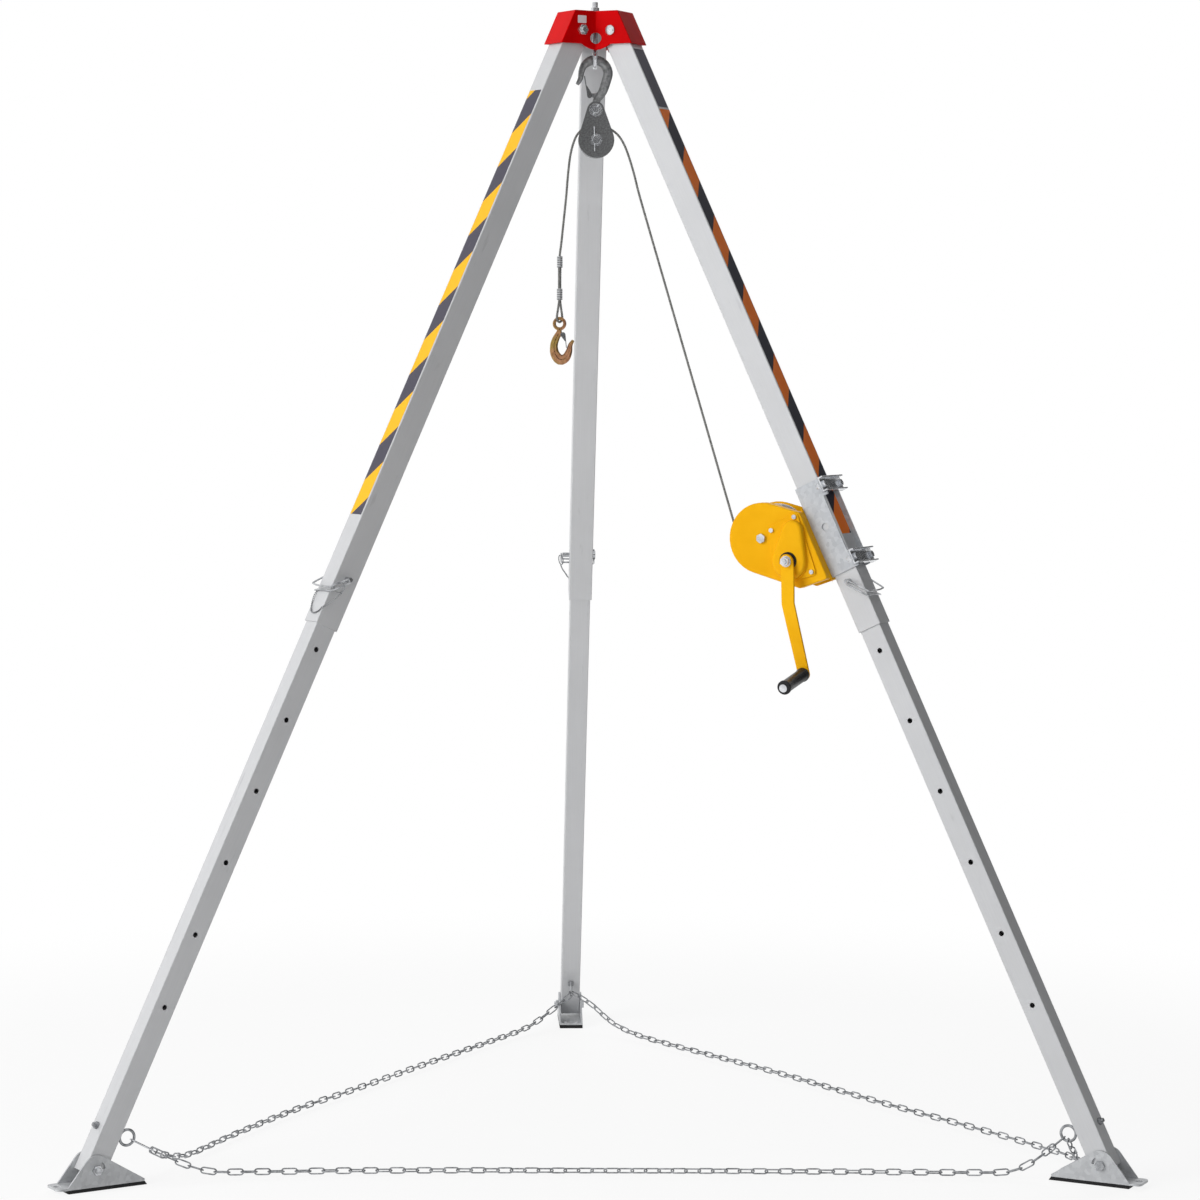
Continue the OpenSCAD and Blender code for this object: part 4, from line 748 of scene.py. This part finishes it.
def longest_loop(bm, into_frame, height):
    """The longest run of sharp edges at this height of a frame."""
    left = {edge for edge in bm.edges if edge.calc_face_angle(0.0) > SHARP_TURN
            and all(abs((into_frame @ spot.co).z - height * MM) < SAME_HEIGHT for spot in edge.verts)}
    loops = []
    while left:
        loop = [left.pop()]
        for edge in loop:
            for other in {e for spot in edge.verts for e in spot.link_edges} & left:
                left.remove(other)
                loop.append(other)
        loops.append(loop)
    return max(loops, key=lambda loop: sum(edge.calc_length() for edge in loop))


def eased(node, width, finish, rims=(), clamped=False):
    """A copy of a CAD solid with its sharp edges softened, and its rims at given heights rounded."""
    bm = welded(node)
    bmesh.ops.dissolve_limit(bm, angle_limit=FLAT_ANGLE, verts=bm.verts, edges=bm.edges)
    for height, radius in rims:
        rim = longest_loop(bm, on_winch.inverted(), height)
        bmesh.ops.bevel(bm, geom=rim, offset=radius * MM, offset_type="OFFSET", segments=6, profile=0.5,
                        affect="EDGES", material=-1)
    piece = piece_of(node + "_eased", mesh_of(bm), finish)
    soft = piece.modifiers.new("edges", "BEVEL")
    soft.width = width * MM
    soft.segments = 2
    soft.limit_method = "ANGLE"
    soft.angle_limit = EDGE_ANGLE
    soft.use_clamp_overlap = clamped
    soft.loop_slide = False
    soft.miter_outer = "MITER_ARC"
    soft.harden_normals = True
    return carried(piece, body_of_node[node], slot_of_node[node], node)


for node, width, finish in (
        ("head_shell", 1.6, red_paint), ("eye_bolt", 0.5, zinc), ("pivot_bolts", 0.6, zinc),
        ("pivot_washers", 0.3, washer_plastic), ("winch_bracket", 0.7, sheet_zinc),
        ("clamp_straps", 0.7, zinc), ("bracket_bolts", 0.5, zinc), ("cover_screws", 0.4, zinc),
        ("drum", 0.6, zinc), ("drum_axle", 0.6, zinc), ("drum_gear", 0.15, zinc), ("drive_shaft", 0.3, zinc),
        ("brake_ratchet", 0.2, zinc), ("brake_pawl", 0.3, zinc), ("crank_arm", 1.2, yellow_paint),
        ("crank_nut", 0.5, zinc), ("crank_grip", 0.7, grip_plastic), ("grip_pin", 0.6, zinc),
        ("block_cheeks", 0.8, block_coat), ("block_pins", 0.4, zinc), ("sheave", 0.5, zinc),
        ("rope_ferrules", 0.7, crimped), ("block_latch", 0.3, block_coat), ("load_latch", 0.3, wire_zinc)):
    eased(node, width, finish)
SHELL_TOP = 52.0
BOSS_TOP = 66.0
eased("winch_frame", 0.8, yellow_paint, rims=[(SHELL_TOP, 2.4)])
eased("gear_cover", 0.9, yellow_paint, rims=[(BOSS_TOP, 7.0)])
for leg in LEGS:
    for name, width, finish in (("lock_pin", 0.6, wire_zinc), ("chain_eye", 0.4, chain_zinc),
                                ("foot_bolt", 0.6, wire_zinc), ("foot_pad", 0.8, rubber)):
        eased(leg + "_" + name, width, finish)
    eased(leg + "_foot_bracket", 0.8, foot_zinc, clamped=True)
    for tube in ("upper", "lower"):
        solid = frame["nodes"][f"{leg}_{tube}_tube"]
        solid.data.materials.clear()
        solid.data.materials.append(alloy[leg])

# %% [markdown]
# ## Hooks
# Forged hooks have no sharp edges anywhere. The CAD hook is a bent bar with an eye and a lug stuck on, so its
# copy is remade in small cubes, as with clay, and smoothed: eye, bar and lug then flow into each other.
# The load hook's bowl is also made a little fuller towards its lowest point.


# %% Forged hooks
BOWL_HIGH = 34.0


def forged(node, voxel, rounds, finish, fuller=0.0):
    """A copy of a CAD solid whose edges have all been worn round, with a bowl that is this much fuller."""
    clay = bpy.data.objects.new("clay", mesh_of(welded(node)))
    scene.collection.objects.link(clay)
    cubes = clay.modifiers.new("cubes", "REMESH")
    cubes.mode = "VOXEL"
    cubes.voxel_size = voxel * MM
    wear = clay.modifiers.new("wear", "SMOOTH")
    wear.factor = 0.5
    wear.iterations = rounds
    graph = bpy.context.evaluated_depsgraph_get()
    mesh = bpy.data.meshes.new_from_object(clay.evaluated_get(graph))
    bpy.data.objects.remove(clay)
    lowest = min(spot.co.z for spot in mesh.vertices)
    outward = [spot.normal.copy() for spot in mesh.vertices]
    for spot, normal in zip(mesh.vertices, outward):
        share = max(0.0, 1 - (spot.co.z - lowest) / (BOWL_HIGH * MM))
        spot.co += normal * share * fuller * MM
    print(node, len(mesh.polygons), "faces")
    piece = piece_of(node + "_forged", mesh, finish, 80.0)
    return carried(piece, body_of_node[node], slot_of_node[node], node)


forged("block_hook", voxel=0.9, rounds=12, finish=forged_grey)
forged("load_hook", voxel=0.7, rounds=12, finish=gold_zinc, fuller=2.0)
forged("snap_hook", voxel=0.5, rounds=6, finish=zinc)

# %% [markdown]
# ## Pin bails
# Each lock pin is kept in by a bail, one piece of spring wire from ear to ear round the leg. Half of it is
# given as points, the other half is its mirror image, and a wire is swept along the smoothed whole.

# %% Bails
PIN_AT = 1202.0
UPPER_W = 50.0
BAIL_R = 1.8
BAIL_OUT = 6.0
BAIL_HALF = 4.0
PIN_GAP = 0.3
PIN_HEAD_HALF = 3.0
PIN_HEAD_R = 9.0
PIN_HEAD_Y = UPPER_W / 2 + PIN_GAP + PIN_HEAD_HALF
PIN_TIP_Y = UPPER_W / 2 + 15.5
BAIL_FAR = PIN_TIP_Y + BAIL_R + 0.7
DROOP = {"left": 45.0, "right": 50.0, "back": 45.0}


def pin_frame(leg):
    """The leg's frame at its lock pin, with the pin's head on the -Y side."""
    flip = Matrix.Scale(-1, 4, (0, 1, 0)) if leg == "right" else Matrix.Identity(4)
    return on_leg[leg] @ Matrix.Translation((0, 0, -PIN_AT * MM)) @ flip


def drooped(leg):
    """The bail's turn round its pin, and how far out it has to reach to clear the leg."""
    droop = math.radians(DROOP[leg])
    return Matrix.Rotation(droop, 4, "Y"), (UPPER_W / 2 + BAIL_OUT + BAIL_R) / math.cos(droop)


def bail_points(leg):
    tilt, out = drooped(leg)
    ear = PIN_HEAD_R + BAIL_R + PIN_GAP
    half = [(0, -PIN_HEAD_Y, PIN_HEAD_R - 2), (0, -PIN_HEAD_Y, ear - BAIL_R), (2.5, -PIN_HEAD_Y, ear),
            (out - 5, -PIN_HEAD_Y - 1, ear - 3), (out, 6 - PIN_HEAD_Y, 6), (out, 0, BAIL_HALF),
            (out, BAIL_FAR - 7, BAIL_HALF), (out - 6, BAIL_FAR - 1, BAIL_HALF), (9, BAIL_FAR, BAIL_HALF),
            (4, BAIL_FAR, BAIL_HALF - 1)]
    whole = half + [(x, y, -z) for x, y, z in reversed(half)]
    return placed(pin_frame(leg) @ tilt, smooth_run(whole, RUN_STEPS))


for leg in LEGS:
    wire = curve_mesh([tuple(p) for p in bail_points(leg)], BAIL_R * MM, 4)
    bail = piece_of(leg + "_bail_wire", wire, wire_zinc, 70.0)
    carried(bail, leg + "_bail", slot_of_node[leg + "_bail"], leg + "_bail")
print("bails bent")

# %% [markdown]
# ## Lanyards
# A pin that falls into a shaft is lost, so the left and back pins each have a bead chain. It hangs from the
# bail's outer corner, lies against the leg, and comes up on the other side to a split ring round the bail. The
# beads are threaded on a wire, and both are joined into one mesh.

# %% Lanyards
BEAD_R = 1.6
BEAD_PITCH = 3.9
RING_R = 10.4
RING_WIRE = 1.1
RING_AT = 29.0
RING_LIE = Vector((0.9, -0.436, 0))
BEAD_GAP = 0.3
THREAD_R = 0.35


def ring_points(centre, across, along):
    """A split ring, a little more than one turn, in the plane of two directions."""
    turns = [math.radians(a) for a in range(0, 391, 15)]
    drift = across.cross(along) * RING_WIRE * 2
    return [centre + (across * math.cos(t) + along * math.sin(t)) * RING_R + drift * (t / (2 * math.pi) - 0.5)
            for t in turns]


def lanyard_points(corner, ring_low):
    """From the bail's corner down the outward face, round the leg's edge and up to the ring."""
    near = UPPER_W / 2 + BEAD_R + BEAD_GAP
    return [corner, (near + 1, -22, -49), (near, -20, -64), (near, -13, -77), (near, -3, -83), (near, 9, -82),
            (near, 20, -77), (near + 0.6, near + 0.6, -70), (22, near + 3, -63), (17, near + 7, -54),
            (13, near + 12, -44), ring_low]


def lanyard(leg):
    tilt, out = drooped(leg)
    hang = BAIL_HALF + BAIL_R - (RING_R - RING_WIRE)
    ring = ring_points(Vector((RING_AT, BAIL_FAR, hang)), Vector((0, 0, 1)), RING_LIE)
    corner = tilt @ Vector((out, 6 - PIN_HEAD_Y, -6 - BAIL_R - BEAD_R))
    ring_low = tilt @ Vector((RING_AT, BAIL_FAR, hang - RING_R - RING_WIRE - BEAD_R))
    run = even_run(smooth_run(lanyard_points(corner, ring_low), 8), BEAD_PITCH)
    spots = placed(pin_frame(leg), run)
    bm = bmesh.new()
    bm.from_mesh(curve_mesh(placed(pin_frame(leg) @ tilt, ring), RING_WIRE * MM, 3))
    bm.from_mesh(curve_mesh(spots, THREAD_R * MM, 2))
    for spot in spots:
        bmesh.ops.create_uvsphere(bm, u_segments=8, v_segments=6, radius=BEAD_R * MM,
                                  matrix=Matrix.Translation(spot))
    made = piece_of(leg + "_pin_lanyard", mesh_of(bm), chain_zinc, 70.0)
    carried(made, leg + "_bail", slot_of_node[leg + "_bail"])
    print(leg, "lanyard has", len(spots), "beads")


for leg in ("left", "back"):
    lanyard(leg)

# %% [markdown]
# ## Rivets and seal
# Two rivets hold each rubber pad to its foot, at the edge that looks inward. A black rubber seal lies round
# the crank's shaft on the winch cover, and its black is also painted shade under the crank arm. Both are
# turned shapes, so a short outline is spun.

# %% Rivets and seal
RIVET = ((0, 0), (3.6, 0), (3.5, 0.9), (2.6, 1.7), (0, 2.1))
SEAL_AND_SHADE_OUTLINE = ((13.2, 0), (18.0, 0), (18.0, 1.4), (16.6, 2.6), (14.4, 2.6), (13.2, 1.6))
RIVET_ACROSS = 13.0
RIVET_IN = 90.0
PAD_T = 7.0
FOOT_PLATE_T = 4.0
for leg in LEGS:
    bolt = Vector(joint[leg + "_foot_rock"]["pos_m"])
    side = on_leg[leg].to_3x3().col[1].copy()
    outward = side.cross(Vector((0, 0, 1)))
    bm = bmesh.new()
    for across in (-RIVET_ACROSS, RIVET_ACROSS):
        at = bolt - outward * RIVET_IN * MM + side * across * MM
        spun = bmesh.new()
        lathe(spun, RIVET, steps=16, frame_to=Matrix.Translation((at.x, at.y, (PAD_T + FOOT_PLATE_T) * MM)))
        bm.from_mesh(mesh_of(spun))
    rivets = piece_of(leg + "_pad_rivets", mesh_of(bm), zinc)
    carried(rivets, leg + "_foot", slot_of_node[leg + "_foot_bracket"])

crank_spot = on_winch.inverted() @ Vector(joint["crank_turn"]["pos_m"])
crank_spot.z = BOSS_TOP * MM
# A black rubber ring round the shaft, which also stands as painted shade under the crank arm.
seal_bm = bmesh.new()
lathe(seal_bm, SEAL_AND_SHADE_OUTLINE, steps=48, frame_to=on_winch @ Matrix.Translation(crank_spot))
seal = piece_of("shaft_seal_and_painted_shade", mesh_of(seal_bm), rubber)
carried(seal, body_of_node["gear_cover"], slot_of_node["left_foot_pad"])
print("rivets and seal made")

# %% [markdown]
# ## Chain
# The chain is zinc plated wire, bent into long oval links that turn a quarter each. The CAD links are square
# in section. Each one is found again as an island of the solid, and a round link takes its place. A chain is
# cut into four stretches, at set shares of the way from one eye to the other.

# %% One round link
LINK_WIRE = 1.5
LINK_INSIDE = (27.5, 8.0)
LINK_HALF = LINK_INSIDE[0] / 2 + LINK_WIRE
LINK_TURN_R = LINK_INSIDE[1] / 2 + LINK_WIRE
link_bm = bmesh.new()
for end in (1, -1):
    ring = bmesh.ops.create_circle(link_bm, segments=8, radius=LINK_WIRE * MM)["verts"]
    to_side = (Matrix.Translation(Vector((end * (LINK_HALF - LINK_TURN_R), -end * LINK_TURN_R, 0)) * MM)
               @ Matrix.Rotation(math.pi / 2, 4, "Y"))
    bmesh.ops.transform(link_bm, matrix=to_side, verts=ring)
    rim = list({edge for spot in ring for edge in spot.link_edges})
    bmesh.ops.spin(link_bm, geom=ring + rim, cent=Vector((end * (LINK_HALF - LINK_TURN_R), 0, 0)) * MM,
                   axis=(0, 0, 1), angle=math.pi, steps=6)
for side in (1, -1):
    open_edges = [e for e in link_bm.edges if e.is_boundary and e.verts[0].co.y * side > 0]
    bmesh.ops.bridge_loops(link_bm, edges=open_edges)
bmesh.ops.recalc_face_normals(link_bm, faces=link_bm.faces)
link_mesh = mesh_of(link_bm)
print("one link has", len(link_mesh.polygons), "faces")


# %% Links in place
def link_frames(node):
    """Where each link of a CAD chain lies: its middle, with X along it and Z across its plane."""
    bm = welded(node)
    left = set(bm.verts)
    frames = []
    while left:
        island = [left.pop()]
        for spot in island:
            for edge in spot.link_edges:
                other = edge.other_vert(spot)
                if other in left:
                    left.remove(other)
                    island.append(other)
        spots = np.array([v.co for v in island])
        centre = spots.mean(axis=0)
        axes = np.linalg.eigh(np.cov((spots - centre).T))[1]
        along, across = Vector(axes[:, 2]), Vector(axes[:, 0])
        frames.append(columns(along, across.cross(along), across, Vector(centre)))
    bm.free()
    return frames


SLIDE_SHARE = 0.36


def chain(node, start_leg, end_leg):
    """Four stretches of one chain, cut at set shares of the way from eye to eye."""
    places = link_frames(node)
    eyes = [(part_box(leg + "_chain_eye")[0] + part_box(leg + "_chain_eye")[1]) / 2
            for leg in (start_leg, end_leg)]
    way = eyes[1] - eyes[0]
    share = [(p.translation - eyes[0]).dot(way) / way.length_squared for p in places]
    cuts = (min(share), SLIDE_SHARE, 0.5, 1 - SLIDE_SHARE, max(share))
    stretch = [sum(at >= cut for cut in cuts[1:-1]) for at in share]
    for k in range(4):
        bm = bmesh.new()
        for spot, own in zip(places, stretch):
            if own == k:
                before = len(bm.verts)
                bm.from_mesh(link_mesh)
                bm.verts.ensure_lookup_table()
                bmesh.ops.transform(bm, matrix=spot, verts=bm.verts[before:])
        made = piece_of(f"{node}_{k + 1}", mesh_of(bm), chain_zinc, 60.0)
        carried(made, None, slot_of_node[node], node)
        tuple(eyes[0] + way * cuts[k])
        tuple(eyes[0] + way * cuts[k + 1])
        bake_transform(made)
    print(node, len(places), "links")


chain("chain_left_back", "left", "back")
chain("chain_left_right", "left", "right")
chain("chain_back_right", "back", "right")

# %% [markdown]
# ## Hazard tape
# The outward faces of the left and right legs carry striped tape. The strip is a thin sheet with rounded
# corners, and its stripes are worked out along the leg, half a period of each colour, at a slant.


# %% Tape
STRIPE_PERIOD = 0.1522
STRIPE_SLANT = 0.96
TAPE_W = 43.0
TAPE_T = 0.25
GLUE_T = 0.05
CORNER_R = 1.5


def tape_finish(name, leg, first, second, start):
    """Slanted stripes along a leg; start is where the first colour gives way to the second."""
    made = Finish(name, Specular_IOR_Level=0.12)
    spot = made.place(on_leg[leg])
    along = made.part(spot, 1) * STRIPE_SLANT - made.part(spot, 2)
    stripe = (along - start).within(STRIPE_PERIOD).above(STRIPE_PERIOD / 2)
    grain = made.noise(spot, 600.0, 2.0)
    scuffs = made.noise(made.stretched(spot, (1.0, 1.0, 0.3)), 160.0, 6.0).eased(0.66, 0.8)
    colour = made.blend(stripe, second, first)
    made.wear(Base_Color=made.blend(scuffs * 0.25, colour, tint(170, 165, 150)),
              Roughness=0.36 + grain * 0.12 + scuffs * 0.2,
              Normal=made.bump(grain, 0.00004, 0.4))
    return made.material


def stuck_sheet(name, width, length, place, finish):
    """A thin sheet with rounded corners, stuck on along the place's X and Y."""
    bm = bmesh.new()
    bmesh.ops.create_grid(bm, x_segments=1, y_segments=1, size=0.5)
    bmesh.ops.scale(bm, vec=(width * MM, length * MM, 1), verts=bm.verts)
    bmesh.ops.bevel(bm, geom=bm.verts[:], offset=CORNER_R * MM, offset_type="OFFSET", segments=3, profile=0.5,
                    affect="VERTICES", material=-1)
    sheet = bmesh.ops.extrude_face_region(bm, geom=bm.faces[:])
    top = [v for v in sheet["geom"] if isinstance(v, bmesh.types.BMVert)]
    bmesh.ops.translate(bm, vec=(0, 0, TAPE_T * MM), verts=top)
    bmesh.ops.recalc_face_normals(bm, faces=bm.faces)
    bmesh.ops.transform(bm, matrix=place, verts=bm.verts)
    return piece_of(name, mesh_of(bm), finish)


def strip(name, leg, start, end, finish):
    """Tape on the leg's outward face, between two distances from the pivot."""
    lie = columns(Vector((0, 1, 0)), Vector((0, 0, 1)), Vector((1, 0, 0)),
                  Vector((UPPER_W / 2 + GLUE_T, 0, -(start + end) / 2)) * MM)
    tape = stuck_sheet(name, TAPE_W, end - start, on_leg[leg] @ lie, finish)
    carried(tape, leg + "_upper", "leg_alloy")


left_tape = tape_finish("tape_yellow", "left", tint(252, 190, 40), tint(76, 74, 86), 0.1455)
right_tape = tape_finish("tape_orange", "right", tint(255, 130, 46), tint(50, 50, 60), 0.2112)
dark_vinyl = moulded("dark_vinyl", tint(66, 64, 76), tint(80, 78, 90),
                     grain=500.0, rough=0.4, depth=0.00003)
strip("hazard_tape_left", "left", 147.0, 1075.0, left_tape)
strip("hazard_tape_right", "right", 187.0, 1112.0, right_tape)
strip("dark_patch_right", "right", 53.0, 182.0, dark_vinyl)
label_paper = moulded("label_paper", tint(232, 220, 226), tint(244, 236, 240),
                      grain=700.0, rough=0.5, depth=0.00003)
HEAD_HALF_W = 34.0
LABEL_UP = 21.0
left_side = on_leg["left"].to_3x3().col[1].copy()
world_up = Vector((0, 0, 1))
label_spot = on_leg["left"].translation + left_side * (HEAD_HALF_W + GLUE_T) * MM + world_up * LABEL_UP * MM
label_place = columns(world_up.cross(left_side), world_up, left_side, label_spot)
label = stuck_sheet("blank_label", width=20.0, length=15.0, place=label_place, finish=label_paper)
carried(label, "head", slot_of_node["head_shell"])
print("tape and blank label laid")

# %% [markdown]
# ## Rope lengths
# A rope is flexible, so its real length is worked out along its middle line and printed. The climbing rope
# leaves the drum and ends where the stretch at the block begins, and the fall ends in its sleeves and the load
# hook.

# %% Rope lengths
def length_of(line):
    return float(run_lengths(np.array(line))[-1])


print("rope lengths", [round(length_of(line), 3) for line in (climb_line, block_line, hook_line)])
